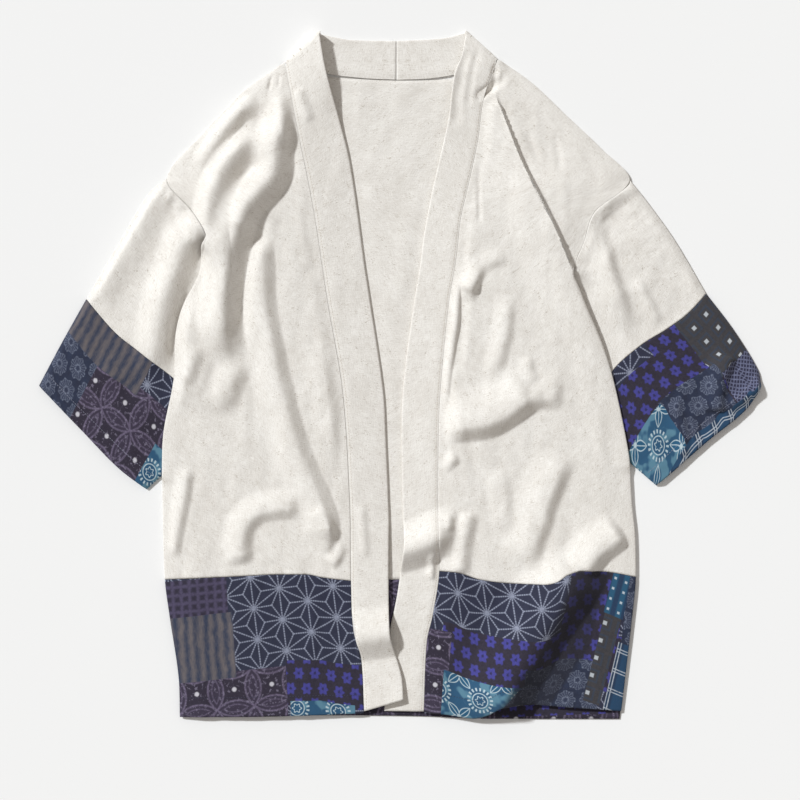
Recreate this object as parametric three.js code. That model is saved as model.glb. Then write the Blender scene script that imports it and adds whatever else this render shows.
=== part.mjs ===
// A haori: an open, short, wide-sleeved jacket of linen with printed cuffs and hem bands.
// It lies flat on its back, spread out, fronts up. Millimetres, +Z up.
// +X is the wearer's left, +Y runs from the hem to the neck, and the back rests on z = 0.
// Outlines and folds are short tables in real sizes. Every panel is a wall over such an outline.
import * as THREE from "three";

// Driving dimensions
const CLOTH = 1.2; // linen and printed cloth, with its hems
const COLLAR = 2.6; // collar band, cloth folded double
const SEAM = 0.3; // gap between two pieces where they are sewn
const ON_BACK = CLOTH + 0.4; // lowest level of a front that lies on the back
const SLEEVE_FLAT = 3.8; // height of the flattened sleeve where the body covers it
const SLEEVE_FULL = 6.1; // height of the sleeve's crown
const ON_SLEEVE = SLEEVE_FLAT + 0.5; // lowest level of a front that lies on a sleeve
const LOFT = 4.5; // how far the middle of a front stands over its edges
const LOFT_RUN = 13; // distance over which a front rises from its edge
const TURN_RADIUS = 2.2; // middle of the collar's cloth where it turns over at the neck
const FRONT_TOP = 347; // y of the front's first row, at the side of the neck
const BACK_SEAM_Y = -228; // seam between the back and its hem band
const CENTRE_BACK = [-5, 331.4]; // lower end of the seam between the collar's two halves
const CENTRE_BACK_TOP = 374.6; // y of that seam's upper end
const HEM_Y = -383.9; // lowest point of the back's hem band

// How the cloth gives way. Distances from an edge or a seam over which a level changes.
const EDGE_RUN = 16; // folds of a front begin over this distance from its side edge
const SEAM_RUN = 18; // a front comes down to the collar over this distance
const SEAM_RISE = 0.8; // a front's underside over the collar's, at their seam
const ONTO_SLEEVE = 16; // a front climbs onto the sleeve over this distance, at the shoulder
const OFF_SLEEVE = 14; // and leaves it over this one, at the underarm
const EDGE_START = 0.35; // share of a front's rise that it has at its side edge
const EDGE_RISE = 6; // distance over which the rest of that rise begins
const BLEND = 0.8; // rounding where a trough meets the cloth below
const MOST_STRETCH = 1.7; // limit of a wall's extra height on a slope
const CROWN_FROM = 4; // distance from the body at which a sleeve begins to stand up
const CROWN_RUN = 30; // distance over which it does
const CREASE_RUN = 20; // distance over which a sleeve's creases begin
const RING_ROUND = 0.022; // share of a tube's width over which its folded edges are round
const RING_CROWN = 0.1; // share of its width over which the crown fades at those edges
const BACK_INSET = 0.6; // the back's edge stays this far inside the sleeves' seams

// Rows of each surface's grid
const FRONT_ROWS = 36;
const HEM_ROWS = 12;
const SLEEVE_RINGS = 9;
const CUFF_RINGS = 6;
const BACK_STEPS = 7;
const TURN_STEPS = 6;
const COLLAR_STEPS = 60;

// Outlines, from the neck down. Columns: y, x.
const OUTER_RIGHT = [
  [351, -130], [322, -172], [298, -196], [271, -222], [221, -262], [184, -233], [156, -216],
  [144, -222], [114, -226], [78, -244], [46, -252], [-3, -254], [-63, -265.5], [-107, -267.3],
  [-155, -266.6], [-228, -264.3], [-269, -259], [-337, -249], [-384, -247.5],
];
const OUTER_LEFT = [
  [355, 108], [329, 145.6], [291, 186], [253, 226], [219, 256.5], [183, 216], [116, 197],
  [78, 207], [36, 225], [2, 236], [-36, 245], [-76, 253], [-96, 256], [-145, 259], [-176, 262.3],
  [-225, 263.2], [-279, 258], [-331, 252], [-384, 245.7],
];
const COLLAR_SEAM_RIGHT = [
  [351, -130], [281, -116.5], [192, -98.6], [85, -82], [-16, -65], [-139, -57], [-229, -55.7],
  [-284, -53], [-314, -44.5], [-376, -41],
];
const COLLAR_SEAM_LEFT = [
  [355, 108.6], [309, 92.5], [261, 85.7], [213, 75.4], [175, 66.8], [129, 61.6], [85, 54],
  [-10, 44.6], [-57, 42.2], [-162, 41.4], [-218, 43], [-268, 35.5], [-297, 29], [-376, 25.6],
];
const COLLAR_EDGE_RIGHT = [
  [385, -91.3], [342, -84], [280, -67.2], [244, -58.2], [192, -49.8], [129, -41.4], [85, -34.7],
  [-16, -19.8], [-72, -16.8], [-162, -13.4], [-228, -13.8], [-287, -12.3], [-337, 1.1], [-376, 3],
];
const COLLAR_EDGE_LEFT = [
  [386.5, 73.2], [358, 67.8], [336, 59.4], [287, 53.1], [210, 35.8], [158, 25.8], [129, 22.2],
  [73, 13.4], [22, 6.2], [-29, 1.5], [-72, 0.7], [-151, 2.2], [-185, 3.4], [-238, -3.1],
  [-261, -7.3], [-284, -12.3], [-376, -18.7],
];

// Lower edges of the fronts. Columns: share of the width from the side to the collar, y.
const HEM_SEAM_RIGHT = [
  [0, -227.6], [0.33, -224.6], [0.6, -221.8], [0.76, -221.8], [0.86, -225.7], [1, -229],
];
const HEM_SEAM_LEFT = [
  [0, -224.4], [0.13, -219.3], [0.27, -217.3], [0.35, -221.4], [0.4, -228.6], [0.46, -232.2],
  [0.64, -231.7], [0.79, -227.6], [0.9, -220.3], [1, -218.3],
];
const HEM_RIGHT = [[0, -381.4], [0.5, -380.5], [1, -376.9]];
const HEM_LEFT = [
  [0, -374.5], [0.28, -370], [0.52, -366.5], [0.61, -369], [0.68, -378.5], [0.75, -382.5],
  [0.9, -378], [1, -376.9],
];

// The collar's underside along each front. Columns: y, level at the seam, level at the free edge.
const COLLAR_LEVEL_RIGHT = [
  [385, 4.4, 4.4], [362, 4.6, 9], [335, 5.5, 16], [300, 7, 11], [260, 7, 4.5], [190, 6, 3],
  [85, 5, 3], [-16, 5, 2.6], [-140, 5, 2.6], [-229, 5, 4.8], [-284, 5.6, 5.6], [-302, 4.9, 4.9],
  [-340, 5.6, 6.4], [-376, 4.8, 5.8],
];
const COLLAR_LEVEL_LEFT = [
  [387, 4.4, 4.4], [358, 4.6, 7], [336, 5.5, 10], [310, 6.5, 10], [287, 6.5, 8], [210, 6, 4],
  [129, 5, 2.6], [22, 4.5, 2.2], [-72, 5, 2], [-150, 4.5, 2], [-205, 3, ON_BACK],
  [-260, 3.5, ON_BACK], [-376, 3, ON_BACK],
];

// Folds. A fold is a ridge (height above 0) or a trough (below 0) along a path. left and right
// are its widths to each side of somebody walking along the path, taper the length of its ends.
const FOLDS_RIGHT = [
  { name: "shoulder ridge", height: 14, left: 22, right: 46, taper: 60,
    path: [
      [-127, 322], [-136, 288], [-149, 253], [-157, 221], [-177, 191], [-191, 165], [-201, 129],
      [-208, 85], [-212, 35],
    ] },
  { name: "valley beside the ridge", height: -4.5, left: 16, right: 14, taper: 40,
    path: [
      [-112, 305], [-113, 265], [-126, 209], [-149, 160], [-166, 135], [-176, 51], [-185, -10],
    ] },
  { name: "long crease", height: -2.5, left: 12, right: 12, taper: 50,
    path: [[-155, 144], [-148, 95], [-140, 34], [-124, -50], [-104, -110]] },
  { name: "arch over the hem band", height: 5, left: 26, right: 22, taper: 30,
    path: [[-176, -222], [-160, -195], [-130, -182], [-98, -190], [-74, -214]] },
  { name: "upper shoulder crease", height: -3, left: 11, right: 11, taper: 24,
    path: [[-166, 298], [-186, 272], [-208, 247]] },
  { name: "lower shoulder crease", height: -3, left: 11, right: 11, taper: 24,
    path: [[-166, 257], [-206, 225], [-212, 184], [-208, 156]] },
  { name: "roll at the side", height: 3, left: 20, right: 12, taper: 40,
    path: [[-226, 110], [-243, 40], [-252, -20], [-256, -90], [-257, -160]] },
];
const FOLDS_LEFT = [
  { name: "overlap fold", height: 9, left: 10, right: 58, taper: 40,
    path: [[106, 318], [132, 247], [164, 175], [191, 118]] },
  { name: "gully beside the collar", height: -3, left: 14, right: 8, taper: 24,
    path: [[72, 116], [66, 85], [59, 26], [51, -22]] },
  { name: "ridge over the cross crease", height: 6, left: 18, right: 12, taper: 26,
    path: [[58, -44], [95, -50], [118, -33], [143, -16], [186, -20]] },
  { name: "cross crease", height: -4, left: 9, right: 12, taper: 26,
    path: [[53, -63], [95, -70], [119, -52], [143, -34], [180, -36]] },
  { name: "ridge of the long diagonal", height: 5, left: 14, right: 34, taper: 40,
    path: [[172, -90], [158, -145], [142, -185], [122, -218]] },
  { name: "long diagonal", height: -3, left: 16, right: 10, taper: 30,
    path: [[180, -108], [172, -145], [159, -180], [138, -213]] },
  { name: "bulge of the hem band", height: 10, left: 22, right: 62, taper: 60,
    path: [[172, -214], [140, -262], [112, -318], [90, -384]] },
  { name: "hollow of the hem band", height: -4, left: 26, right: 20, taper: 40,
    path: [[212, -223], [178, -275], [142, -340]] },
  { name: "side crease", height: -2.5, left: 9, right: 9, taper: 20,
    path: [[244, -190], [210, -214]] },
];
const SLEEVE_FOLDS_RIGHT = [
  { name: "crease beside the body", height: -1.6, left: 18, right: 18, taper: 40,
    path: [[-236, 158], [-262, 110], [-284, 62], [-298, 20]] },
  { name: "crease of the cuff", height: -1.2, left: 16, right: 12, taper: 24,
    path: [[-330, 28], [-318, -20], [-304, -60]] },
];
const SLEEVE_FOLDS_LEFT = [
  { name: "crease from the seam", height: -1.8, left: 14, right: 14, taper: 30,
    path: [[224, 172], [236, 130], [248, 90], [259, 48]] },
  { name: "outer crease", height: -1.4, left: 10, right: 10, taper: 14,
    path: [[273, 102], [291, 62]] },
  { name: "crease of the cuff", height: -1.4, left: 12, right: 12, taper: 20,
    path: [[344, 40], [330, 0], [318, -36]] },
];

// A sleeve lies between four lines: armhole, cuff seam, upper fold and underarm fold.
const SLEEVE_RIGHT = {
  armhole: [[-262, 221], [-233, 184], [-211, 150], [-180, 60], [-155.7, -10.6]],
  cuffSeam: [[-352, 86], [-319, 48], [-290, 25], [-254, -3], [-200.5, -51.1]],
  cuffEdge: [[-405, -11], [-357, -61], [-315, -104], [-284.5, -127.1]],
  upperFold: [[-262, 221], [-282, 204.5], [-316, 148], [-352, 86]],
  cuffFold: [[-352, 86], [-380, 36], [-405, -11]],
};
const SLEEVE_LEFT = {
  armhole: [[256.5, 219], [232, 196], [214, 178], [184, 78], [155.7, -10.6]],
  cuffSeam: [[341.6, 92], [320, 69], [296.7, 52], [268, 34], [237, 6], [201.6, -50.2]],
  cuffEdge: [[403.6, -12], [384.7, -39], [342, -74], [301, -110], [285.6, -122.6]],
  upperFold: [[256.5, 219], [276, 194.5], [306, 152.5], [341.6, 92]],
  cuffFold: [[341.6, 92], [372, 52], [400, 6], [403.6, -12]],
};

// The neck seam and the collar's upper edge, from the wearer's right to the left.
const NECK = [
  [-127.5, 347.6], [-108, 344.6], [-82.4, 338], [-40, 333], [-1.8, 331.3], [30, 332.6],
  [60, 337], [86, 344], [106.4, 350.6],
];
const COLLAR_TOP = [[-89, 382], [-74, 379], [-57, 376], [-5, 374.6], [49, 378], [71, 384]];

// Colours of the cloths
const linen = new THREE.MeshStandardMaterial({ color: 0xe0dad0, roughness: 0.9, metalness: 0 });
const print = new THREE.MeshStandardMaterial({ color: 0x2b3454, roughness: 0.85, metalness: 0 });
const collarLinen = new THREE.MeshStandardMaterial({ color: 0xd9d3c8, roughness: 0.9, metalness: 0 });

const mix = (a, b, share) => a + (b - a) * share;
const smooth = (value) => {
  const t = Math.min(1, Math.max(0, value));
  return t * t * (3 - 2 * t);
};
const higher = (a, b) => (a + b + Math.hypot(a - b, BLEND)) / 2; // the higher level, blended

// Value of a table's column at a key in its first column, as a smooth curve through the rows.
function lookUp(rows, key, column = 1) {
  const rising = rows[0][0] < rows[rows.length - 1][0] ? 1 : -1;
  let i = 0;
  while (i < rows.length - 2 && (key - rows[i + 1][0]) * rising > 0) i += 1;
  const slope = (k) => {
    const before = rows[Math.max(0, k - 1)];
    const after = rows[Math.min(rows.length - 1, k + 1)];
    return (after[column] - before[column]) / (after[0] - before[0]);
  };
  const span = rows[i + 1][0] - rows[i][0];
  const t = Math.min(1, Math.max(0, (key - rows[i][0]) / span));
  const [a, b] = [rows[i][column], rows[i + 1][column]];
  const chord = (b - a) / span;
  const most = 3 * Math.abs(chord);
  const tame = (m) => (m * chord <= 0 ? 0 : Math.sign(m) * Math.min(Math.abs(m), most));
  const [ma, mb] = [tame(slope(i)) * span, tame(slope(i + 1)) * span];
  return a * (1 - 3 * t * t + 2 * t ** 3) + b * (3 * t * t - 2 * t ** 3)
    + ma * (t - 2 * t * t + t ** 3) + mb * (t ** 3 - t * t);
}

// Point at a share of a line's length, from the line's corner points.
function along(line, share) {
  const lengths = [0];
  for (let i = 1; i < line.length; i += 1) {
    lengths.push(lengths[i - 1] + Math.hypot(line[i][0] - line[i - 1][0], line[i][1] - line[i - 1][1]));
  }
  const total = lengths[lengths.length - 1];
  const rows = line.map((point, i) => [lengths[i] / total, point[0], point[1]]);
  return [lookUp(rows, share, 1), lookUp(rows, share, 2)];
}

// Height that the folds of a table add at (x, y): each is a raised-cosine ridge along its path.
function foldHeight(folds, x, y) {
  let sum = 0;
  for (const fold of folds) {
    let nearest = { distance: Infinity };
    let walked = 0;
    for (let i = 1; i < fold.path.length; i += 1) {
      const [ax, ay] = fold.path[i - 1];
      const [dx, dy] = [fold.path[i][0] - ax, fold.path[i][1] - ay];
      const length = Math.hypot(dx, dy);
      const t = Math.min(1, Math.max(0, ((x - ax) * dx + (y - ay) * dy) / length ** 2));
      const distance = Math.hypot(x - ax - dx * t, y - ay - dy * t);
      const side = Math.sign(dx * (y - ay) - dy * (x - ax));
      if (distance < nearest.distance) nearest = { distance, side, at: walked + t * length };
      walked += length;
    }
    const width = nearest.side > 0 ? fold.left : fold.right;
    if (nearest.distance >= width) continue;
    const ends = smooth(nearest.at / fold.taper) * smooth((walked - nearest.at) / fold.taper);
    sum += fold.height * ends * (1 + Math.cos(Math.PI * nearest.distance / width)) / 2;
  }
  return sum;
}

// Everything that differs from side to side. sign points from the middle to the side's edge,
// sleeveFrom and sleeveTo are the y between which a front lies on its sleeve, neckSide and
// neckCorner the ends of the line over which the collar turns, and collarEnd the y of its
// lower end at the seam and at the free edge.
const RIGHT = {
  sign: -1, outer: OUTER_RIGHT, seam: COLLAR_SEAM_RIGHT, edge: COLLAR_EDGE_RIGHT,
  levels: COLLAR_LEVEL_RIGHT, hemSeam: HEM_SEAM_RIGHT, hem: HEM_RIGHT, folds: FOLDS_RIGHT,
  sleeve: SLEEVE_RIGHT, sleeveFolds: SLEEVE_FOLDS_RIGHT, sleeveFrom: 232, sleeveTo: -124,
  neckSide: [-130, 351], neckCorner: [-91.3, 384.7], collarEnd: [-374.6, -361],
};
const LEFT = {
  sign: 1, outer: OUTER_LEFT, seam: COLLAR_SEAM_LEFT, edge: COLLAR_EDGE_LEFT,
  levels: COLLAR_LEVEL_LEFT, hemSeam: HEM_SEAM_LEFT, hem: HEM_LEFT, folds: FOLDS_LEFT,
  sleeve: SLEEVE_LEFT, sleeveFolds: SLEEVE_FOLDS_LEFT, sleeveFrom: 232, sleeveTo: -112,
  neckSide: [108.6, 354.5], neckCorner: [73.2, 386.5], collarEnd: [-374.6, -374.6],
};

// Underside of a front at (x, y): it leaves its side edge, which lies on the back or on the
// sleeve, rises to its loft, carries the folds and comes down to the collar at the seam.
function frontLevel(side, x, y) {
  const below = smooth((side.sleeveFrom - y) / ONTO_SLEEVE);
  const overSleeve = below * smooth((y - side.sleeveTo) / OFF_SLEEVE);
  const floor = mix(ON_BACK, ON_SLEEVE, overSleeve);
  const inward = Math.max(0, side.sign * (lookUp(side.outer, y) - x));
  const toSeam = Math.max(0, side.sign * (x - lookUp(side.seam, y)));
  const loft = LOFT * (1 - Math.exp(-inward / LOFT_RUN));
  const nearEdge = smooth(inward / EDGE_RUN);
  const free = floor + loft + nearEdge * foldHeight(side.folds, x, y);
  const atSeam = lookUp(side.levels, y, 1) + SEAM_RISE;
  const level = mix(atSeam, free, smooth(toSeam / SEAM_RUN));
  return floor + higher(level - floor, 0) * smooth(EDGE_START + inward / EDGE_RISE);
}

// Top of a flattened sleeve at (x, y): low beside and under the body, with a crown further out.
function sleeveTop(side, x, y) {
  const outward = side.sign * (x - lookUp(side.outer, y));
  const crown = (SLEEVE_FULL - SLEEVE_FLAT) * smooth((outward - CROWN_FROM) / CROWN_RUN);
  const clear = smooth((outward - CROWN_FROM) / CREASE_RUN);
  const creases = clear * foldHeight(side.sleeveFolds, x, y);
  return Math.max(SLEEVE_FLAT, SLEEVE_FLAT + crown + creases);
}

// A closed mesh between an outer and an inner grid of points. A tube wraps across its columns.
function closedWall(outer, inner, material, name, tube = false) {
  const [rows, columns] = [outer.length, outer[0].length];
  const points = [...outer.flat(), ...inner.flat()];
  const faces = [];
  const outside = (i, j) => i * columns + (j % columns);
  const inside = (i, j) => rows * columns + outside(i, j);
  const quad = (a, b, c, d) => faces.push(a, b, c, a, c, d);
  const spans = tube ? columns : columns - 1;
  for (let i = 0; i < rows - 1; i += 1) {
    for (let j = 0; j < spans; j += 1) {
      quad(outside(i, j), outside(i + 1, j), outside(i + 1, j + 1), outside(i, j + 1));
      quad(inside(i, j), inside(i, j + 1), inside(i + 1, j + 1), inside(i + 1, j));
    }
  }
  for (let j = 0; j < spans; j += 1) {
    quad(outside(0, j), outside(0, j + 1), inside(0, j + 1), inside(0, j));
    quad(outside(rows - 1, j + 1), outside(rows - 1, j), inside(rows - 1, j), inside(rows - 1, j + 1));
  }
  for (let i = 0; i < rows - 1 && !tube; i += 1) {
    quad(outside(i + 1, 0), outside(i, 0), inside(i, 0), inside(i + 1, 0));
    quad(outside(i, spans), outside(i + 1, spans), inside(i + 1, spans), inside(i, spans));
  }
  return closedMesh(points, faces, material, name);
}

// A mesh from points and triangles, turned so that its faces point out.
function closedMesh(points, faces, material, name) {
  const corner = (i) => new THREE.Vector3(...points[faces[i]]);
  let volume = 0;
  for (let i = 0; i < faces.length; i += 3) {
    volume += corner(i).dot(corner(i + 1).cross(corner(i + 2)));
  }
  const turned = volume < 0 ? faces.slice().reverse() : faces;
  const geometry = new THREE.BufferGeometry();
  geometry.setAttribute("position", new THREE.Float32BufferAttribute(points.flat(), 3));
  geometry.setIndex(turned);
  geometry.computeVertexNormals();
  const mesh = new THREE.Mesh(geometry, material);
  mesh.name = name;
  return mesh;
}

// A panel's wall: the plan gives (x, y) for each row and column, the level its underside.
// The wall stands straight up from there, thicker on slopes so that its own thickness stays.
function panel(name, material, rows, shares, plan, level) {
  const under = [];
  const over = [];
  const step = 1;
  for (let i = 0; i <= rows; i += 1) {
    const spots = shares.map((share) => plan(i / rows, share));
    under.push(spots.map(([x, y]) => [x, y, level(x, y)]));
    over.push(spots.map(([x, y]) => {
      const slopeX = (level(x + step, y) - level(x - step, y)) / (2 * step);
      const slopeY = (level(x, y + step) - level(x, y - step)) / (2 * step);
      return [x, y, level(x, y) + CLOTH * Math.min(MOST_STRETCH, Math.hypot(1, slopeX, slopeY))];
    }));
  }
  return closedWall(over, under, material, name);
}

// Shares across a front, closer together near the side edge and near the collar.
const FRONT_SHARES = [
  0, 0.014, 0.045, 0.1, 0.17, 0.25, 0.34, 0.43, 0.52, 0.61, 0.7, 0.8, 0.9, 1,
];

function front(side, name) {
  const plan = (down, share) => {
    const y = mix(FRONT_TOP, lookUp(side.hemSeam, share) + SEAM / 2, down);
    return frontSpot(side, y, share);
  };
  return panel(name, linen, FRONT_ROWS, FRONT_SHARES, plan, (x, y) => frontLevel(side, x, y));
}

function frontHemBand(side, name) {
  const plan = (down, share) => {
    const y = mix(lookUp(side.hemSeam, share) - SEAM / 2, lookUp(side.hem, share), down);
    return frontSpot(side, y, share);
  };
  return panel(name, print, HEM_ROWS, FRONT_SHARES, plan, (x, y) => frontLevel(side, x, y));
}

function frontSpot(side, y, share) {
  const outer = lookUp(side.outer, y) - side.sign * SEAM;
  const seam = lookUp(side.seam, y) + side.sign * SEAM / 2;
  return [mix(outer, seam, share), y];
}

const SEAM_SHARE = 0.6; // how much of a slanted seam's gap each of its two tubes leaves

// A sleeve or cuff: rings across a flattened tube between two lines, from fold to fold.
const RING_SHARES = [
  0, 0.006, 0.022, 0.08, 0.18, 0.3, 0.42, 0.54, 0.66, 0.8, 0.92, 0.978, 0.994, 1,
];

function tube(name, material, side, first, last, upper, rings) {
  const [f0, f1] = [along(first, 0), along(first, 1)];
  const [l0, l1] = [along(last, 0), along(last, 1)];
  const reach = [0, 1].map((k) => (l0[k] + l1[k] - f0[k] - f1[k]) / 2);
  const run = Math.hypot(...reach);
  const spot = (down, across) => {
    const [fold, under] = [along(upper, down), [mix(f1[0], l1[0], down), mix(f1[1], l1[1], down)]];
    const [near, far] = [along(first, across), along(last, across)];
    const inset = SEAM_SHARE * SEAM * (1 - 2 * down) / run;
    return [0, 1].map((k) => mix(fold[k], under[k], across)
      + (1 - down) * (near[k] - mix(f0[k], f1[k], across))
      + down * (far[k] - mix(l0[k], l1[k], across)) + inset * reach[k]);
  };
  const outer = [];
  const inner = [];
  for (let i = 0; i <= rings; i += 1) {
    const down = i / rings;
    const width = Math.hypot(...[0, 1].map((k) => spot(down, 1)[k] - spot(down, 0)[k]));
    const inset = CLOTH / width;
    const loop = (wall, margin) => {
      const place = (across) => spot(down, mix(margin, 1 - margin, across));
      const edgeward = (across) => Math.min(across, 1 - across);
      const rounded = (across) => Math.sqrt(Math.min(1, edgeward(across) / RING_ROUND));
      const top = RING_SHARES.map((across) => {
        const [x, y] = place(across);
        const crown = smooth(edgeward(across) / RING_CROWN);
        const level = mix(SLEEVE_FLAT, sleeveTop(side, x, y), crown) - wall;
        return [x, y, mix(SLEEVE_FLAT / 2, level, rounded(across))];
      });
      const bottom = RING_SHARES.slice(1, -1).reverse().map((across) => {
        const [x, y] = place(across);
        return [x, y, mix(SLEEVE_FLAT / 2, wall, rounded(across))];
      });
      return [...top, ...bottom];
    };
    outer.push(loop(0, 0));
    inner.push(loop(CLOTH, inset));
  }
  return closedWall(outer, inner, material, name, true);
}

// Half of the collar: from the centre back along the neck, over the turn at the side of the
// neck, and down the front. Each section runs from the seam to the free edge.
const COLLAR_SHARES = [0, 0.25, 0.5, 0.75, 1];
const EDGE_LEAD = 0.12; // how far the free edge runs ahead of the seam below the turn
const LEAD_RATE = 1.6; // how fast it does

// The points of a line on one side of the centre back, from there outwards.
function halfOf(line, side) {
  const half = line.filter(([x]) => side.sign * (x - CENTRE_BACK[0]) > 0);
  return side.sign < 0 ? half.reverse() : half;
}

function collar(side, name) {
  const [neckSide, corner] = [side.neckSide, side.neckCorner];
  const fold = [corner[0] - neckSide[0], corner[1] - neckSide[1]];
  const foldLength = Math.hypot(...fold);
  const outward = [side.sign * Math.abs(fold[1]) / foldLength, Math.abs(fold[0]) / foldLength];
  const bend = TURN_RADIUS + COLLAR / 2;
  const axis = [neckSide, corner].map((point) => [0, 1].map((k) => point[k] - outward[k] * bend));
  const start = CENTRE_BACK[0] + side.sign * SEAM / 2;
  const seamLine = [[start, CENTRE_BACK[1]], ...halfOf(NECK, side).slice(0, -1), axis[0]];
  const topLine = [[start, CENTRE_BACK_TOP], ...halfOf(COLLAR_TOP, side).slice(0, -1), axis[1]];
  const sections = [];
  for (let i = 0; i <= BACK_STEPS; i += 1) {
    const share = i / BACK_STEPS;
    sections.push({ seam: along(seamLine, share), edge: along(topLine, share), phase: -1 });
  }
  for (let i = 1; i < TURN_STEPS; i += 1) {
    sections.push({ seam: axis[0], edge: axis[1], phase: -1 + 2 * i / TURN_STEPS });
  }
  sections.push({ seam: axis[0], edge: axis[1], phase: 1 });
  for (let i = 1; i <= COLLAR_STEPS; i += 1) {
    const down = i / COLLAR_STEPS;
    const seamY = mix(axis[0][1], side.collarEnd[0], down);
    const ahead = mix(down, smooth(down * LEAD_RATE), EDGE_LEAD);
    const edgeY = mix(axis[1][1], side.collarEnd[1], ahead);
    const seam = [lookUp(side.seam, seamY) - side.sign * SEAM / 2, seamY];
    sections.push({ seam, edge: [lookUp(side.edge, edgeY), edgeY], phase: 1 });
  }
  const outer = [];
  const inner = [];
  for (const { seam, edge, phase } of sections) {
    const angle = phase * Math.PI / 2;
    const normal = [Math.cos(angle) * outward[0], Math.cos(angle) * outward[1], Math.sin(angle)];
    const middle = COLLAR_SHARES.map((share) => {
      const [x, y] = [mix(seam[0], edge[0], share), mix(seam[1], edge[1], share)];
      if (Math.abs(phase) < 1) {
        return [x + normal[0] * TURN_RADIUS, y + normal[1] * TURN_RADIUS, bend + normal[2] * TURN_RADIUS];
      }
      if (phase < 0) return [x, y, COLLAR / 2];
      const level = mix(lookUp(side.levels, y, 1), lookUp(side.levels, y, 2), share);
      return [x, y, level + COLLAR / 2];
    });
    outer.push(middle.map((point) => point.map((value, k) => value + normal[k] * COLLAR / 2)));
    inner.push(middle.map((point) => point.map((value, k) => value - normal[k] * COLLAR / 2)));
  }
  return closedWall(outer, inner, collarLinen, name);
}

// The back and its hem band lie flat on the surface: outlines with the cloth's thickness.
function flatPanel(name, material, outline) {
  const shape = new THREE.Shape(outline.map(([x, y]) => new THREE.Vector2(x, y)));
  const geometry = new THREE.ExtrudeGeometry(shape, { depth: CLOTH, bevelEnabled: false });
  const mesh = new THREE.Mesh(geometry, material);
  mesh.name = name;
  return mesh;
}

// A side edge of the back from one y to another, a hair inside the front that covers it.
function sideEdge(side, from, to, steps) {
  const points = [];
  for (let i = 0; i <= steps; i += 1) {
    const y = mix(from, to, i / steps);
    points.push([lookUp(side.outer, y) - side.sign, y]);
  }
  return points;
}

// The back's edge on one side: shoulder, armhole, underarm fold and side.
const SHOULDER_END = 224; // y where the shoulder's edge meets the armhole
const ARMHOLE_RISE = 0.4; // the back's edge stays this far above the armhole's line
const UNDERARM_DROP = 1; // and this far below the underarm's corner
const FOLD_DROP = 0.8; // and this far below the underarm fold
const SIDE_STEP = 6; // from the underarm fold to the first point of the side

function backHalf(side) {
  const { armhole, cuffEdge } = side.sleeve;
  const inward = -side.sign * BACK_INSET;
  const shoulder = sideEdge(side, FRONT_TOP, SHOULDER_END, 7);
  const seam = RING_SHARES.slice(1, -1).map((share) => {
    const [x, y] = along(armhole, share);
    return [x + inward, y + ARMHOLE_RISE];
  });
  const underarm = armhole[armhole.length - 1];
  const tip = cuffEdge[cuffEdge.length - 1];
  const corner = [underarm[0] + inward, underarm[1] - UNDERARM_DROP];
  const meetX = lookUp(side.outer, side.sleeveTo + OFF_SLEEVE) - side.sign;
  const share = (meetX - underarm[0]) / (tip[0] - underarm[0]);
  const meet = [meetX, mix(underarm[1], tip[1], share) - FOLD_DROP];
  const below = sideEdge(side, meet[1] - SIDE_STEP, BACK_SEAM_Y + SEAM / 2, 8);
  return [...shoulder, ...seam, corner, meet, ...below];
}

function back() {
  const neck = NECK.map(([x, y]) => [x, y - SEAM - BACK_INSET]);
  const outline = [...backHalf(RIGHT).reverse(), ...neck, ...backHalf(LEFT)];
  return flatPanel("back_panel", linen, outline);
}

// The back's lower edge shows below the fronts, a little lower on the wearer's left.
const BACK_HEM = [[244.5, HEM_Y], [97, HEM_Y], [40, -381], [-50, -380], [-246.5, -380]];

function backHemBand() {
  const top = BACK_SEAM_Y - SEAM / 2;
  const [left, right] = [sideEdge(LEFT, top, -379.9, 8), sideEdge(RIGHT, -378, top, 8)];
  return flatPanel("back_hem_band", print, [...left, ...BACK_HEM, ...right]);
}

const haori = new THREE.Group();
haori.add(back(), backHemBand());
for (const [side, word] of [[RIGHT, "right"], [LEFT, "left"]]) {
  const { armhole, cuffSeam, cuffEdge, upperFold, cuffFold } = side.sleeve;
  haori.add(front(side, `front_${word}`));
  haori.add(frontHemBand(side, `front_${word}_hem_band`));
  haori.add(tube(`sleeve_${word}`, linen, side, armhole, cuffSeam, upperFold, SLEEVE_RINGS));
  haori.add(tube(`cuff_${word}`, print, side, cuffSeam, cuffEdge, cuffFold, CUFF_RINGS));
  haori.add(collar(side, `collar_${word}`));
}

export default haori;
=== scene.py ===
# %% [markdown]
# # A haori laid flat
# A haori is an open, short jacket with wide sleeves. A long collar band runs round the neck and
# down both fronts, and nothing closes it. This one is slub linen with printed patchwork on the
# cuffs and along the hem. It lies on its back, spread out, seen from straight above.
#
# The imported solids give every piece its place. This script dresses each of them with cloth:
# a fine grid worked out with numpy, closed to a thin wall, with a material made of nodes.

# %% The frame that the garment is dressed on
import functools
import math

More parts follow.
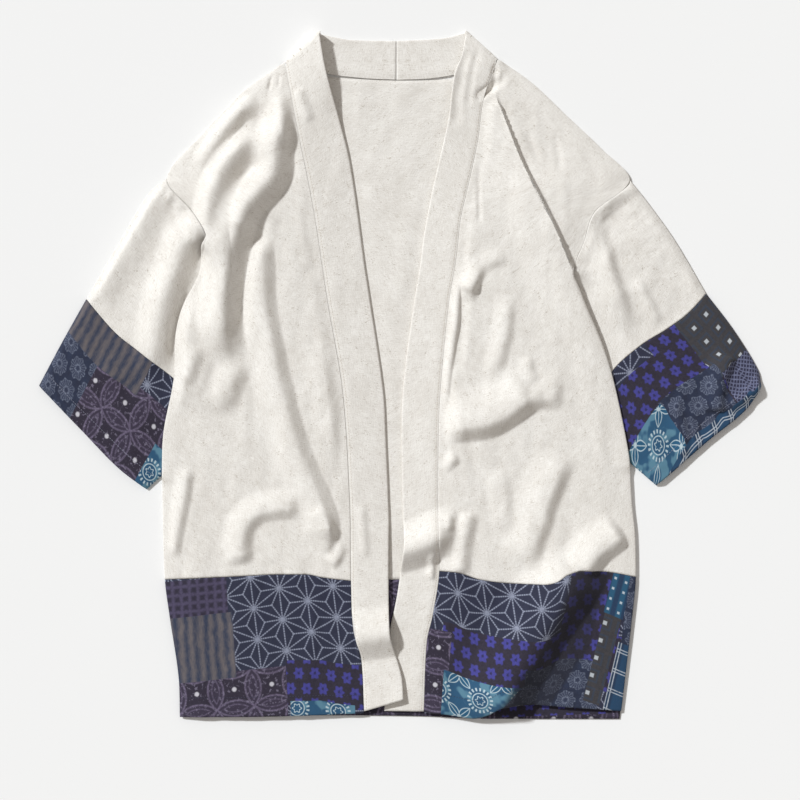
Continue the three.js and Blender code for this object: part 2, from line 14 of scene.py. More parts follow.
import bpy
import numpy as np
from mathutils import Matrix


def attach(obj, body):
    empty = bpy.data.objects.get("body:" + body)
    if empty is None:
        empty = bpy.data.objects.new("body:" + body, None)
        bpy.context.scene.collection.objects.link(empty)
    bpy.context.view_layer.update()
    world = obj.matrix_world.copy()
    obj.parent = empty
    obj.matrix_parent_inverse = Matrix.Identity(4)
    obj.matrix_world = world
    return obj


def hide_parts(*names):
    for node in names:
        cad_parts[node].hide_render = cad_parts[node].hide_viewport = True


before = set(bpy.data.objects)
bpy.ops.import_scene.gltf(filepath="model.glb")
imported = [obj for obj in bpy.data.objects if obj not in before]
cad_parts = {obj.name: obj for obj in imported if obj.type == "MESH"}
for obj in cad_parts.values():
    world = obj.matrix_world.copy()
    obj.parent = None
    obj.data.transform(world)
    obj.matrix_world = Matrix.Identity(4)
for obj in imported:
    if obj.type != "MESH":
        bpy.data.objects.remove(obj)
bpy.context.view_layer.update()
print("solids:", sorted(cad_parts))

# %% [markdown]
# ## Camera, floor and light
# The garment is seen from straight above, so the camera looks down its own -Z axis and needs no
# turning. A long lens keeps the outline free of perspective. The sun stands upper left, as the
# shadows of the collar and of the folds show, and a pale sky fills them. A lamp of the type SUN
# is the simple way to parallel light; its angle sets how soft the shadows' edges are. The sky is
# a little warm, as light is that bounces between folds of linen. The picture is shown without
# a film curve, so that a cloth's colour in it is the colour that its material states.

# %% Camera, floor and light
MM = 0.001
VIEW_CENTRE = (-1.0, -27.0)  # millimetres, the middle of the picture
VIEW_WIDTH = 896.0
CAMERA_HEIGHT = 2200.0
SENSOR = 36.0
SUN_ELEVATION = math.radians(40)
SUN_AZIMUTH = math.radians(143)  # from +X towards +Y: the upper left
SUN_STRENGTH = 3.0
SUN_SIZE = math.radians(5)
SUN_COLOUR = (0.95, 0.98, 1.0)
SKY_STRENGTH = 0.38
SKY_COLOUR = (1.0, 0.95, 0.9, 1)
FLOOR_REACH = 6000.0
PAPER = (247, 247, 247)
FLOOR_Z = -0.6  # a little under the cloth, so that the two never share a surface

camera = bpy.data.objects.new("camera", bpy.data.cameras.new("camera"))
camera.data.sensor_width = SENSOR
camera.data.lens = SENSOR * CAMERA_HEIGHT / VIEW_WIDTH
camera.location = (VIEW_CENTRE[0] * MM, VIEW_CENTRE[1] * MM, CAMERA_HEIGHT * MM)
bpy.context.scene.collection.objects.link(camera)
bpy.context.scene.camera = camera

sun = bpy.data.objects.new("sun", bpy.data.lights.new("sun", "SUN"))
sun.data.energy = SUN_STRENGTH
sun.data.angle = SUN_SIZE
sun.data.color = SUN_COLOUR
sun.rotation_euler = (0, math.pi / 2 - SUN_ELEVATION, SUN_AZIMUTH)
bpy.context.scene.collection.objects.link(sun)

world = bpy.data.worlds.new("studio")
bpy.context.scene.world = world
world.use_nodes = True
background = world.node_tree.nodes["Background"]
background.inputs["Color"].default_value = SKY_COLOUR
background.inputs["Strength"].default_value = SKY_STRENGTH
bpy.context.scene.view_settings.view_transform = "Standard"

floor_mesh = bpy.data.meshes.new("floor")
square = [(x * FLOOR_REACH * MM, y * FLOOR_REACH * MM, 0) for x, y in ((-1, -1), (1, -1), (1, 1), (-1, 1))]
floor_mesh.from_pydata(square, [], [(0, 1, 2, 3)])
floor = bpy.data.objects.new("floor", floor_mesh)
bpy.context.scene.collection.objects.link(floor)
floor.location.z = FLOOR_Z * MM

# %% [markdown]
# ## Shader maths as Python expressions
# A Value wraps one socket. Adding two values adds a Math node, so a pattern reads like its
# formula. The node method makes any other node from its type, its settings and its inputs.
# Python looks up a sign such as + as a method of the class, so the table of Math operations
# gives the class one method for each sign and for each name that the patterns use.

# %% A socket wrapper


class Value:
    """A number on its way through a material's nodes."""

    def __init__(self, tree, socket):
        self.tree = tree
        self.socket = socket

    def node(self, kind, settings=None, inputs=None):
        """Any node: its settings first, then the values or links of its sockets."""
        made = self.tree.nodes.new(kind)
        for name, setting in (settings or {}).items():
            setattr(made, name, setting)
        for name, value in (inputs or {}).items():
            if isinstance(value, Value):
                self.tree.links.new(value.socket, made.inputs[name])
            else:
                made.inputs[name].default_value = value
        return Value(self.tree, made.outputs[0])

    def maths(self, operation, *others):
        """A Math node with this value first."""
        return self.node("ShaderNodeMath", {"operation": operation}, dict(enumerate([self, *others])))

    def __rsub__(self, other):
        return self.node("ShaderNodeMath", {"operation": "SUBTRACT"}, {0: other, 1: self})

    def below(self, edge, blur):
        """1 where the value is below the edge, 0 above it, with a soft step between."""
        return self.step(edge - blur, edge + blur, 1.0, 0.0)

    def step(self, low, high, before=0.0, after=1.0):
        """A smooth step between two values."""
        return self.node(
            "ShaderNodeMapRange", {"interpolation_type": "SMOOTHSTEP"},
            {"Value": self, "From Min": low, "From Max": high, "To Min": before, "To Max": after},
        )

    def tint(self, first, second):
        """A colour between two colours, by this value as the share of the second."""
        made = self.tree.nodes.new("ShaderNodeMix")
        made.data_type = "RGBA"
        self.tree.links.new(self.socket, made.inputs["Factor"])
        for name, colour in (("A", first), ("B", second)):
            socket = [s for s in made.inputs if s.name == name and s.type == "RGBA"][0]
            if isinstance(colour, Value):
                self.tree.links.new(colour.socket, socket)
            else:
                socket.default_value = linear(colour)
        return Value(self.tree, [s for s in made.outputs if s.type == "RGBA"][0])


OPERATIONS = {
    "__add__": "ADD", "__radd__": "ADD", "__sub__": "SUBTRACT", "__mul__": "MULTIPLY",
    "__rmul__": "MULTIPLY", "__truediv__": "DIVIDE", "sin": "SINE", "cos": "COSINE",
    "fract": "FRACT", "floor": "FLOOR", "size": "ABSOLUTE", "root": "SQRT",
    "lesser": "MINIMUM", "greater": "MAXIMUM",
}
for method, operation in OPERATIONS.items():
    setattr(Value, method, functools.partialmethod(Value.maths, operation))


def linear(colour):
    """A display colour of 0 to 255 a channel as Blender's linear light, with alpha."""
    channels = [c / 255 for c in colour]
    return tuple(c / 12.92 if c <= 0.04045 else ((c + 0.055) / 1.055) ** 2.4 for c in channels) + (1.0,)


def new_material(name):
    """A material with an empty shader, and its UV coordinates in millimetres."""
    material = bpy.data.materials.new(name)
    material.use_nodes = True
    tree = material.node_tree
    shader = tree.nodes["Principled BSDF"]
    uv = tree.nodes.new("ShaderNodeUVMap")
    uv.uv_map = "cloth"
    split = tree.nodes.new("ShaderNodeSeparateXYZ")
    tree.links.new(uv.outputs[0], split.inputs[0])
    across = Value(tree, split.outputs[0]) * 1000.0
    along_cloth = Value(tree, split.outputs[1]) * 1000.0
    return material, shader, across, along_cloth


def plain_material(name, colour, roughness):
    """One colour all over."""
    material = bpy.data.materials.new(name)
    material.use_nodes = True
    shader = material.node_tree.nodes["Principled BSDF"]
    shader.inputs["Base Color"].default_value = linear(colour)
    shader.inputs["Roughness"].default_value = roughness
    return material


def finish_cloth(shader, colour, height, light, bump):
    """Connect a cloth's colour and relief. light is its roughness, shine and sheen, bump the
    relief's strength and its depth in metres."""
    for name, number in zip(("Roughness", "Specular IOR Level", "Sheen Weight"), light):
        shader.inputs[name].default_value = number
    strength, depth = bump
    relief = height.node("ShaderNodeBump", None, {"Strength": strength, "Distance": depth, "Height": height})
    for name, value in (("Base Color", colour), ("Normal", relief)):
        value.tree.links.new(value.socket, shader.inputs[name])


def noise(x, y, scale, detail=2.0, roughness=0.5):
    """Smooth noise around 0.5, with a scale in waves per unit of x and y."""
    point = x.node("ShaderNodeCombineXYZ", None, {0: x, 1: y})
    return x.node(
        "ShaderNodeTexNoise", {"noise_dimensions": "2D"},
        {"Vector": point, "Scale": scale, "Detail": detail, "Roughness": roughness},
    )


# %% [markdown]
# ## Slub linen
# Linen yarn is uneven. Thick places, slubs, show as short streaks along both thread directions,
# and the colour wanders between cream and warm grey. Noise stretched along one axis makes such
# streaks. The weave itself is two sine waves a thread apart, and only feeds a Bump node.

# %% Linen material
THREAD = 0.9  # millimetres from thread to thread
LINEN_LIGHT = (247, 244, 239)
LINEN_DARK = (224, 219, 212)
LINEN_FLECK = (196, 188, 177)


def weave_height(x, y, thread):
    """Over-and-under of a plain weave: the product of two waves, one for each thread."""
    turn = math.pi / thread
    return (x * turn).sin() * (y * turn).sin()


def linen_material(name):
    """Slub linen: noise stretched along each thread direction, clouds, grain and flecks."""
    material, shader, x, y = new_material(name)
    wander_x = x + noise(x, y, 0.05) * 3.0
    wander_y = y + noise(y, x, 0.05) * 3.0
    weft = noise(wander_x * 0.10, wander_y * 1.1, 1.0, 3.0, 0.6)
    warp = noise(wander_x * 1.1, wander_y * 0.12, 1.0, 3.0, 0.6)
    cloud = noise(x, y, 0.03, 3.0, 0.6)
    grain = noise(x, y, 0.9, 2.0, 0.7)
    heather = (weft + warp) * 0.42 + cloud * 0.25 + grain * 0.35
    colour = heather.step(0.50, 0.90).tint(LINEN_LIGHT, LINEN_DARK)
    fleck = noise(wander_x * 0.35, wander_y * 1.6, 1.0, 1.0) + noise(x, y, 0.11) * 0.6
    colour = (1.0 - fleck.below(1.06, 0.06)).tint(colour, LINEN_FLECK)
    height = weave_height(wander_x, wander_y, THREAD) * 0.3 + (weft + warp) * 1.1 + grain * 0.5
    finish_cloth(shader, colour, height, (0.92, 0.2, 0.12), (0.35, 0.0006))
    return material


linen = linen_material("linen")
collar_linen = linen_material("collar_linen")
print("linen: nodes", len(linen.node_tree.nodes))

# %% [markdown]
# ## Printed patchwork
# The bands are one cotton cloth, printed to look like patches of old textiles. Each patch has a
# traditional or an ordinary pattern. A pattern is a function of two coordinates in millimetres
# and gives a colour; a patch is a turned rectangle on the cloth, and later patches cover earlier
# ones. An image would be quicker, but formulas stay sharp at any distance.

# %% Patterns of the printed cloth
CHALK = (152, 158, 178)
PRINT_THREAD = 0.7
PATCH_BLUR = 0.3
# Painted shadow: a near-black colour mixed into the print at this share, with soft edges this wide, where a
# fold's hollow lies in shade.
PAINTED_SHADOW = (18, 17, 24)
PAINTED_SHADOW_SHARE = 0.68
PAINTED_SHADOW_BLUR = 4.0
WEAR = (92, 92, 106)


def centred(value, step):
    """The way from the nearest multiple of a step."""
    return ((value / step + 0.5).fract() - 0.5) * step


def staggered(x, y, step, row):
    """The way from the nearest point of rows that are moved by half a step in turn."""
    line = (y / row + 0.5).floor()
    return centred(x + line * (step / 2), step), centred(y, row)


def distance(u, v):
    return (u * u + v * v).root()


def lobed(reach, angle, count, depth):
    """A distance that counts less towards each of some lobes, so that a limit on it is a flower."""
    return reach / (1.0 + (angle * count).cos() * depth)


def line_at(value, place, half, blur):
    """1 on a line where a value passes a place."""
    return (value - place).size().below(half, blur)


def cloudy(x, y, scale, first, second):
    """A colour that wanders between two."""
    return noise(x, y, scale, 3.0, 0.7).tint(first, second)


def hemp_leaf(x, y):
    """Hemp-leaf stars: a lattice of equal triangles, each split by three lines from its middle.
    In every triangle the distances to its sides add up to its height, so their sorted shares
    give the distance to the nearest side and to the nearest of the three lines."""
    side = 35.0
    high = side * math.sqrt(3) / 2
    shares = []
    for third in range(3):
        angle = third * 2 * math.pi / 3
        shares.append(((x * math.cos(angle) + y * math.sin(angle)) / high).fract())
    flipped = (shares[0] + shares[1] + shares[2]).maths("GREATER_THAN", 1.5)
    shares = [(share - flipped).size() for share in shares]
    least = shares[0].lesser(shares[1]).lesser(shares[2])
    most = shares[0].greater(shares[1]).greater(shares[2])
    middle = 1.0 - least - most
    line = (least * high).lesser((middle - least) * (side / 2))
    dashes = (most * 12.0).fract().below(0.72, 0.14).greater(1.0 - most.below(0.9, 0.04))
    ink = line.below(0.72, 0.36) * (dashes * 0.75 + 0.25)
    ground = cloudy(x, y, 0.12, (26, 31, 52), (42, 46, 68))
    return (ink * (noise(x, y, 0.4) * 0.8 + 0.45)).tint(ground, CHALK)


def linked_circles(x, y):
    """Linked circles: a square lattice of circles that pass through each other's crossings.
    Folding a cell onto its first quarter leaves two neighbours to measure the distance to."""
    cell = 42.0
    radius = cell / math.sqrt(2)
    u = centred(x, cell).size()
    v = centred(y, cell).size()
    beside = distance(u - cell, v) - radius
    above = distance(u, v - cell) - radius
    outline = beside.size().lesser(above.size())
    inner = (beside + 4.6).size().lesser((above + 4.6).size())
    petal = beside.lesser(above).below(0.0, 0.6)
    crumbs = noise(x, y, 0.33, 3.0, 0.8)
    broken = (crumbs * 2.4 - 0.75).greater(0.0).lesser(1.0)
    dot = (distance(u, v) + crumbs * 1.2).below(3.1, 0.9)
    sparkle = 1.0 - noise(x, y, 0.22, 2.0, 0.7).below(0.64, 0.06)
    colour = petal.tint((40, 32, 48), (52, 43, 62))
    colour = (inner.below(0.7, 0.7) * broken * 0.8).tint(colour, (126, 114, 142))
    colour = (outline.below(1.0, 0.8) * (broken * 0.7 + 0.2)).tint(colour, (130, 118, 146))
    colour = (sparkle * 0.45).tint(colour, (150, 142, 166))
    return dot.tint(colour, (208, 206, 214))


def blossoms(x, y):
    """Small six-lobed flowers with soft edges, in staggered rows."""
    u, v = staggered(x, y, 18.0, 17.0)
    reach = lobed(((u * u) * 1.5 + v * v).root(), v.maths("ARCTAN2", u), 6.0, 0.17)
    reach = reach + (noise(x, y, 0.5, 2.0, 0.7) - 0.5) * 2.4
    ground = cloudy(x, y, 0.25, (26, 21, 32), (50, 43, 60))
    flower = cloudy(x, y, 0.3, (44, 42, 118), (80, 78, 168))
    colour = reach.below(6.2, 1.1).tint(ground, flower)
    return (reach.below(1.6, 1.0) * 0.9).tint(colour, (30, 27, 66))


def check(x, y):
    """Dark squares with soft corners in a grid, on plum."""
    step = 9.4
    u = centred(x, step).size() * (2 / step)
    v = centred(y, step).size() * (2 / step)
    worn = noise(x, y, 0.3, 3.0, 0.7)
    block = (u.greater(v) + worn * 0.5).below(0.86, 0.34)
    return block.tint(worn.tint((60, 52, 76), (88, 80, 110)), (40, 34, 52))


def stripe(x, y):
    """Stripes of brown and grey blue with uneven edges, as on old cotton."""
    wander = x + (noise(x, y, 0.05) - 0.5) * 6.0
    wave = (wander * (2 * math.pi / 11.0)).sin() * 0.5 + 0.5
    thread = noise(x * 1.3, y * 0.12, 1.0, 3.0, 0.8)
    cloud = noise(x, y, 0.035, 3.0, 0.7)
    share = wave * 0.6 + thread * 1.3 + cloud * 0.7 - 0.9
    colour = share.tint((36, 50, 76), (124, 114, 110))
    return (noise(x, y, 0.05) * 0.3).tint(colour, (58, 62, 74))


def diamonds(x, y):
    """Pale squares in a square lattice, in rings of faint blue, on brown grey."""
    step = 20.3
    reach = centred(x, step).size().greater(centred(y, step).size())
    ground = cloudy(x, y, 0.3, (42, 44, 50), (72, 68, 66))
    colour = (line_at(reach, 6.4, 1.0, 0.9) * 0.5).tint(ground, (42, 64, 88))
    return reach.below(2.2, 0.5).tint(colour, (192, 198, 204))


def dotted_bars(x, y):
    """Upright bars of two blues with a white dot at every crossing."""
    u = centred(x, 12.0).size()
    v = centred(y, 12.0).size()
    ground = u.below(3.0, 1.2).tint((24, 56, 88), (30, 88, 120))
    return (u.greater(v).below(1.3, 0.5) * 0.9).tint(ground, (206, 216, 224))


def line_flowers(x, y):
    """Round flowers of short radial lines, staggered, light on indigo."""
    u, v = staggered(x, y, 27.0, 22.0)
    angle = v.maths("ARCTAN2", u)
    reach = distance(u, v) + (noise(x, y, 0.4, 2.0, 0.7) - 0.5) * 2.0
    lobes = lobed(reach, angle, 8.0, 0.09)
    worn = (noise(x, y, 0.6, 3.0, 0.8) * 2.6 - 0.75).greater(0.0)
    rays = (angle * 20.0).cos().below(0.1, 0.6)
    rays = rays * lobes.below(10.4, 0.8) * (1.0 - lobes.below(4.4, 0.8))
    rim = line_at(lobes, 10.2, 0.5, 0.6)
    ring = line_at(lobes, 3.4, 0.9, 0.7)
    ink = (rays * 0.45 + rim * 0.45 + ring * 0.7) * worn
    ground = cloudy(x, y, 0.08, (22, 26, 44), (38, 52, 80))
    colour = (lobes.below(10.0, 0.8) * 0.5).tint(ground, (54, 62, 86))
    return (ink * 0.85).tint(colour, (156, 166, 188))


def rosettes(x, y):
    """A generic rosette and leaves, outlined in white on two teals. One cell holds a rosette in
    its middle, a ring of ticks round it and a pointed leaf in each corner."""
    step = 46.0
    u = centred(x, step)
    v = centred(y, step)
    reach = distance(u, v)
    angle = v.maths("ARCTAN2", u)
    outline = line_at(lobed(reach, angle, 6.0, 0.2), 4.2, 0.55, 0.4)
    ring = line_at(reach, 8.2, 0.5, 0.4)
    ticks = (angle * 18.0).cos().below(-0.2, 0.4) * line_at(reach, 12.4, 1.7, 0.5)
    corner_u = step / 2 - u.size()
    corner_v = step / 2 - v.size()
    slant = (corner_u - corner_v) * math.sqrt(0.5)
    run = (corner_u + corner_v) * math.sqrt(0.5)
    leaf_edge = ((run - 8.0) * (run - 8.0) * 0.055 + slant.size()) - 4.2
    leaf = leaf_edge.size().below(0.5, 0.4)
    vein = slant.size().below(0.4, 0.4) * leaf_edge.below(0.0, 0.3)
    bud = distance(corner_u, corner_v).below(2.4, 0.5)
    ink = outline.greater(ring).greater(ticks).greater(leaf).greater(vein).greater(bud)
    pale = noise(x, y, 0.05).below(0.5, 0.05) * (1.0 - reach.below(8.2, 0.3))
    ground = pale.tint((32, 84, 118), (88, 134, 156))
    colour = leaf_edge.below(0.0, 0.2).tint(ground, (24, 88, 122))
    return (ink * (noise(x, y, 0.5) * 0.6 + 0.6)).tint(colour, (196, 214, 220))


def plaid(x, y):
    """White double lines that cross on teal, with darker bars between."""
    step = 23.0
    double = [line_at(centred(value, step).size(), 1.6, 0.55, 0.4) for value in (x, y)]
    bar = centred(x, step).size().below(5.0, 1.0) * 0.6
    ground = bar.tint((24, 68, 102), (20, 38, 66))
    worn = noise(x, y, 0.4) * 0.7 + 0.4
    return (double[0].greater(double[1]) * worn).tint(ground, (206, 214, 222))


def lattice(x, y):
    """A fine slanted lattice, lavender on dark blue."""
    rise = centred(x + y, 5.6).size().below(0.9, 0.5)
    fall = centred(x - y, 5.6).size().below(0.9, 0.5)
    worn = noise(x, y, 0.3) * 0.8 + 0.2
    return (rise.greater(fall) * worn).tint((38, 38, 64), (132, 138, 170))


def turned(x, y, degrees):
    """Coordinates in axes that are turned."""
    cosine, sine = math.cos(math.radians(degrees)), math.sin(math.radians(degrees))
    return x * cosine + y * sine, y * cosine - x * sine


def within(x, y, outline, blur):
    """1 inside a turned rectangle: its middle's u and v, its width, height and turn."""
    centre_u, centre_v, width, height, turn = outline
    u, v = turned(x - centre_u, y - centre_v, turn)
    return u.size().below(width / 2, blur) * v.size().below(height / 2, blur)


def print_material(name, patches, painted_shadows=()):
    """The printed cloth of one band: its first pattern all over, then each patch on top, and
    last the painted shadows, where the whole cloth is darkened with soft edges as painted shade
    in a fold's hollow. Columns of a patch: pattern, its outline, then u and v of one of its
    motifs and the turn of its motifs."""
    material, shader, x, y = new_material(name)
    colour = None
    for pattern, *outline, motif_u, motif_v, motif_turn in patches:
        motifs = pattern(*turned(x - motif_u, y - motif_v, motif_turn))
        colour = motifs if colour is None else within(x, y, outline, PATCH_BLUR).tint(colour, motifs)
    # Painted shadow: inside these outlines the print is darkened, as the shade in a fold's hollow would
    # darken it.
    if painted_shadows:
        darker = [within(x, y, outline, PAINTED_SHADOW_BLUR) for outline in painted_shadows]
        colour = (functools.reduce(Value.greater, darker) * PAINTED_SHADOW_SHARE).tint(colour, PAINTED_SHADOW)
    wear = noise(x, y, 0.5, 4.0, 0.75)
    colour = (wear * 0.26).tint(colour, WEAR)
    height = weave_height(x, y, PRINT_THREAD) * 0.4 + wear * 0.8
    finish_cloth(shader, colour, height, (0.88, 0.25, 0.1), (0.3, 0.0005))
    print(name, "patches", len(patches), "nodes", len(material.node_tree.nodes))
    return material


# %% [markdown]
# ## Where the patches lie
# The hem bands' coordinates are the garment's own: u across from the middle, v up from the
# middle, but measured from the seam, so that the patches sag with it. On a cuff u runs across
# from the upper fold and v from its seam to the edge, so the patches turn with the sleeve. Each
# list gives the patches of one band in millimetres. The painted shadows are shade painted into
# the print of the deep hollow in the hem of the wearer's left front.

# %% Patches of each band
HEM_RIGHT_PATCHES = [
    (hemp_leaf, -118, -272, 200, 120, 0, -132, -273, 7),
    (blossoms, -84, -343, 88, 50, 1, -78, -333, 0),
    (rosettes, -87, -375, 72, 23, 1, -70, -372, 0),
    (linked_circles, -190, -356, 126, 56, 3, -186, -348, 5),
    (check, -231, -245, 74, 42, 3, -231, -245, 3),
    (stripe, -225, -301, 78, 73, 4, -225, -301, 4),
]
HEM_LEFT_PATCHES = [
    (hemp_leaf, 105, -252, 160, 76, -4, 96, -258, 8),
    (blossoms, 160, -318, 230, 64, -4, 109, -305, 0),
    (blossoms, 214, -268, 66, 130, -12, 109, -305, 0),
    (linked_circles, 23, -333, 60, 94, -5, 42, -307, -5),
    (rosettes, 90, -361, 88, 54, -4, 88, -354, 0),
    (line_flowers, 178, -351, 84, 62, -4, 170, -345, 0),
    (line_flowers, 137, -377, 60, 62, -43, 170, -345, 0),
    (diamonds, 225, -318, 19, 106, -14, 223, -299, -14),
    (dotted_bars, 243, -246, 22, 50, -14, 237, -240, -14),
    (line_flowers, 263, -262, 24, 90, -8, 262, -250, 0),
    (plaid, 249, -341, 31, 82, -13, 243, -307, -13),
]
# Outlines where shade is painted into the left hem band's print: the deep hollow of its big fold.
HEM_LEFT_PAINTED_SHADOWS = [(198, -266, 44, 104, -17), (170, -322, 50, 76, -35), (144, -355, 52, 60, -34)]
CUFF_RIGHT_PATCHES = [
    (linked_circles, 112, 84, 140, 110, 0, 100, 55, 0),
    (line_flowers, 8, 80, 88, 84, 0, 11, 73, 90),
    (stripe, 46, 12, 122, 58, 0, 46, 12, 0),
    (hemp_leaf, 130, 12, 48, 38, 0, 112, 24, 10),
    (rosettes, 185, 100, 64, 64, 0, 163, 96, 0),
]
CUFF_LEFT_PATCHES = [
    (blossoms, 110, 40, 90, 90, 0, 59, 24, 11),
    (hemp_leaf, 121, 2, 60, 30, 0, 124, 16, 20),
    (diamonds, 6, 30, 92, 100, 0, 35, 37, 5),
    (line_flowers, 84, 90, 76, 56, 0, 64, 79, 90),
    (lattice, 14, 98, 60, 44, 0, 19, 96, 0),
    (rosettes, 160, 92, 78, 56, 0, 150, 90, 0),
    (plaid, 90, 131, 200, 28, 0, 103, 125, 0),
]
BACK_HEM_PATCHES = [
    (linked_circles, 0, -300, 560, 170, 0, 3, -300, 0),
    (hemp_leaf, -150, -280, 170, 104, 3, -150, -280, 7),
    (stripe, 60, -330, 90, 70, -3, 60, -330, -3),
    (blossoms, 170, -350, 130, 60, 2, 170, -350, 2),
    (line_flowers, 200, -270, 120, 84, 0, 200, -270, 0),
]

prints = {
    "front_right_hem_band": print_material("print_hem_right", HEM_RIGHT_PATCHES),
    "front_left_hem_band": print_material("print_hem_left", HEM_LEFT_PATCHES, HEM_LEFT_PAINTED_SHADOWS),
    "cuff_right": print_material("print_cuff_right", CUFF_RIGHT_PATCHES),
    "cuff_left": print_material("print_cuff_left", CUFF_LEFT_PATCHES),
    "back_hem_band": print_material("print_hem_back", BACK_HEM_PATCHES),
}

# %% [markdown]
# ## Tables of outlines and folds
# The outlines are the cut edges and folds of the garment as it lies, in millimetres, with the
# wearer's left on +X and the neck on +Y. The same tables shape the solids, so the cloth lies
# where they are. A fold is a ridge or, with a height below 0, a trough along a path; its left
# and right widths are those of somebody who walks along the path. Most widths are wide on the
# lit side and narrow on the other, whose flank is sharp and lies in shade.

# %% Outlines
CLOTH = 1.2
COLLAR = 2.6
ON_BACK = CLOTH + 0.4
SLEEVE_FLAT = 3.8
SLEEVE_FULL = 6.1
ON_SLEEVE = SLEEVE_FLAT + 0.5
LOFT = 4.5
LOFT_RUN = 13.0
EDGE_RUN = 16.0  # the way from a side edge over which a front's folds begin
EDGE_RISE = 6.0
EDGE_START = 0.35
ONTO_SLEEVE = 16.0
OFF_SLEEVE = 14.0
SEAM_RUN = 18.0
SEAM_RISE = 0.8
BLEND = 0.8
FLUSH_RUN = 40.0
FLUSH_END = 12.0
FLUSH_IN = 34.0  # how far in from a side edge a flush front counts as being
FLUSH_OUT = 28.0
CROWN_FROM = 4.0
CROWN_RUN = 30.0
TURN_RADIUS = 2.2
COLLAR_WIDTH = 46.0
BAND_TOP = -223.0  # the hem bands' seam, as the patches' coordinates have it
BACK_SEAM_Y = -228.0
CENTRE_BACK_X = -5.0
NECK_ENDS = (-127.0, 106.0)
SEAM = 0.3

OUTER_RIGHT = [
    (351, -130), (322, -172), (298, -196), (271, -222), (221, -262), (184, -233), (156, -216),
    (144, -222), (114, -226), (78, -244), (46, -252), (-3, -254), (-63, -265.5), (-107, -267.3),
    (-155, -266.6), (-228, -264.3), (-269, -259), (-337, -249), (-384, -247.5),
]
OUTER_LEFT = [
    (355, 108), (329, 145.6), (291, 186), (253, 226), (219, 256.5), (183, 216), (150, 204),
    (116, 192), (97, 199.5), (78, 207), (36, 225), (2, 236), (-36, 245), (-76, 253), (-96, 256),
    (-145, 259), (-176, 262.3), (-225, 263.2), (-279, 258), (-331, 252), (-384, 245.7),
]
COLLAR_SEAM_RIGHT = [
    (351, -130), (281, -116.5), (192, -98.6), (85, -82), (-16, -65), (-139, -57), (-229, -55.7),
    (-284, -53), (-314, -44.5), (-376, -41),
]
COLLAR_SEAM_LEFT = [
    (355, 108.6), (309, 92.5), (261, 85.7), (213, 75.4), (175, 66.8), (129, 61.6), (85, 54),
    (-10, 44.6), (-57, 42.2), (-162, 41.4), (-218, 43), (-268, 35.5), (-297, 29), (-376, 25.6),
]
COLLAR_EDGE_RIGHT = [
    (385, -91.3), (342, -84), (280, -67.2), (244, -58.2), (192, -49.8), (129, -41.4), (85, -34.7),
    (-16, -19.8), (-72, -16.8), (-162, -13.4), (-228, -13.8), (-287, -12.3), (-337, 1.1), (-376, 3),
]
COLLAR_EDGE_LEFT = [
    (386.5, 73.2), (358, 67.8), (336, 59.4), (287, 53.1), (210, 35.8), (158, 25.8), (129, 22.2),
    (73, 13.4), (22, 6.2), (-29, 1.5), (-72, 0.7), (-151, 2.2), (-185, 3.4), (-238, -3.1),
    (-261, -7.3), (-284, -12.3), (-376, -18.7),
]
# Across each front: the share from its side edge to the collar, and y.
HEM_SEAM_RIGHT = [
    (0, -227.6), (0.33, -224.6), (0.6, -221.8), (0.76, -221.8), (0.86, -225.7), (1, -229),
]
HEM_SEAM_LEFT = [
    (0, -224.4), (0.13, -219.3), (0.27, -217.3), (0.35, -221.4), (0.4, -228.6), (0.46, -232.2),
    (0.64, -231.7), (0.79, -227.6), (0.9, -220.3), (1, -218.3),
]
HEM_RIGHT = [(0, -381.4), (0.5, -380.5), (1, -376.9)]
HEM_LEFT = [
    (0, -374.5), (0.28, -370), (0.52, -366.5), (0.61, -369), (0.68, -378.5), (0.75, -382.5),
    (0.9, -378), (1, -376.9),
]
# Height of the collar's underside down each front. Columns: y, at its seam, at its edge.
COLLAR_LEVEL_RIGHT = [
    (385, 4.4, 16), (362, 4.6, 17.5), (335, 5.5, 16), (310, 7, 10), (290, 7, 5), (260, 7, 2.8),
    (190, 6, 2), (85, 5, 1.8), (-16, 5, 1.8), (-140, 5, 2), (-229, 5, 4.4), (-284, 5.6, 5.6),
    (-302, 4.9, 4.9), (-340, 5.6, 8), (-376, 5, 12),
]
COLLAR_LEVEL_LEFT = [
    (387, 4.4, 4.4), (358, 4.6, 7), (336, 5.5, 10), (310, 6.5, 10), (287, 6.5, 8), (210, 6, 4),
    (129, 5, 2.6), (22, 4.5, 2.2), (-72, 5, 2), (-150, 4.5, 2), (-205, 3, ON_BACK),
    (-260, 3.5, ON_BACK), (-376, 3, ON_BACK),
]
NECK = [
    (-127.5, 347.6), (-108, 344.6), (-82.4, 338), (-40, 333), (-1.8, 331.3), (30, 332.6), (60, 337),
    (86, 344), (106.4, 350.6),
]
COLLAR_TOP = [(-89, 382), (-74, 379), (-57, 376), (-5, 374.6), (49, 378), (71, 384)]
CENTRE_BACK_Y = (331.4, 374.6)  # of the neck seam and of the collar's folded edge

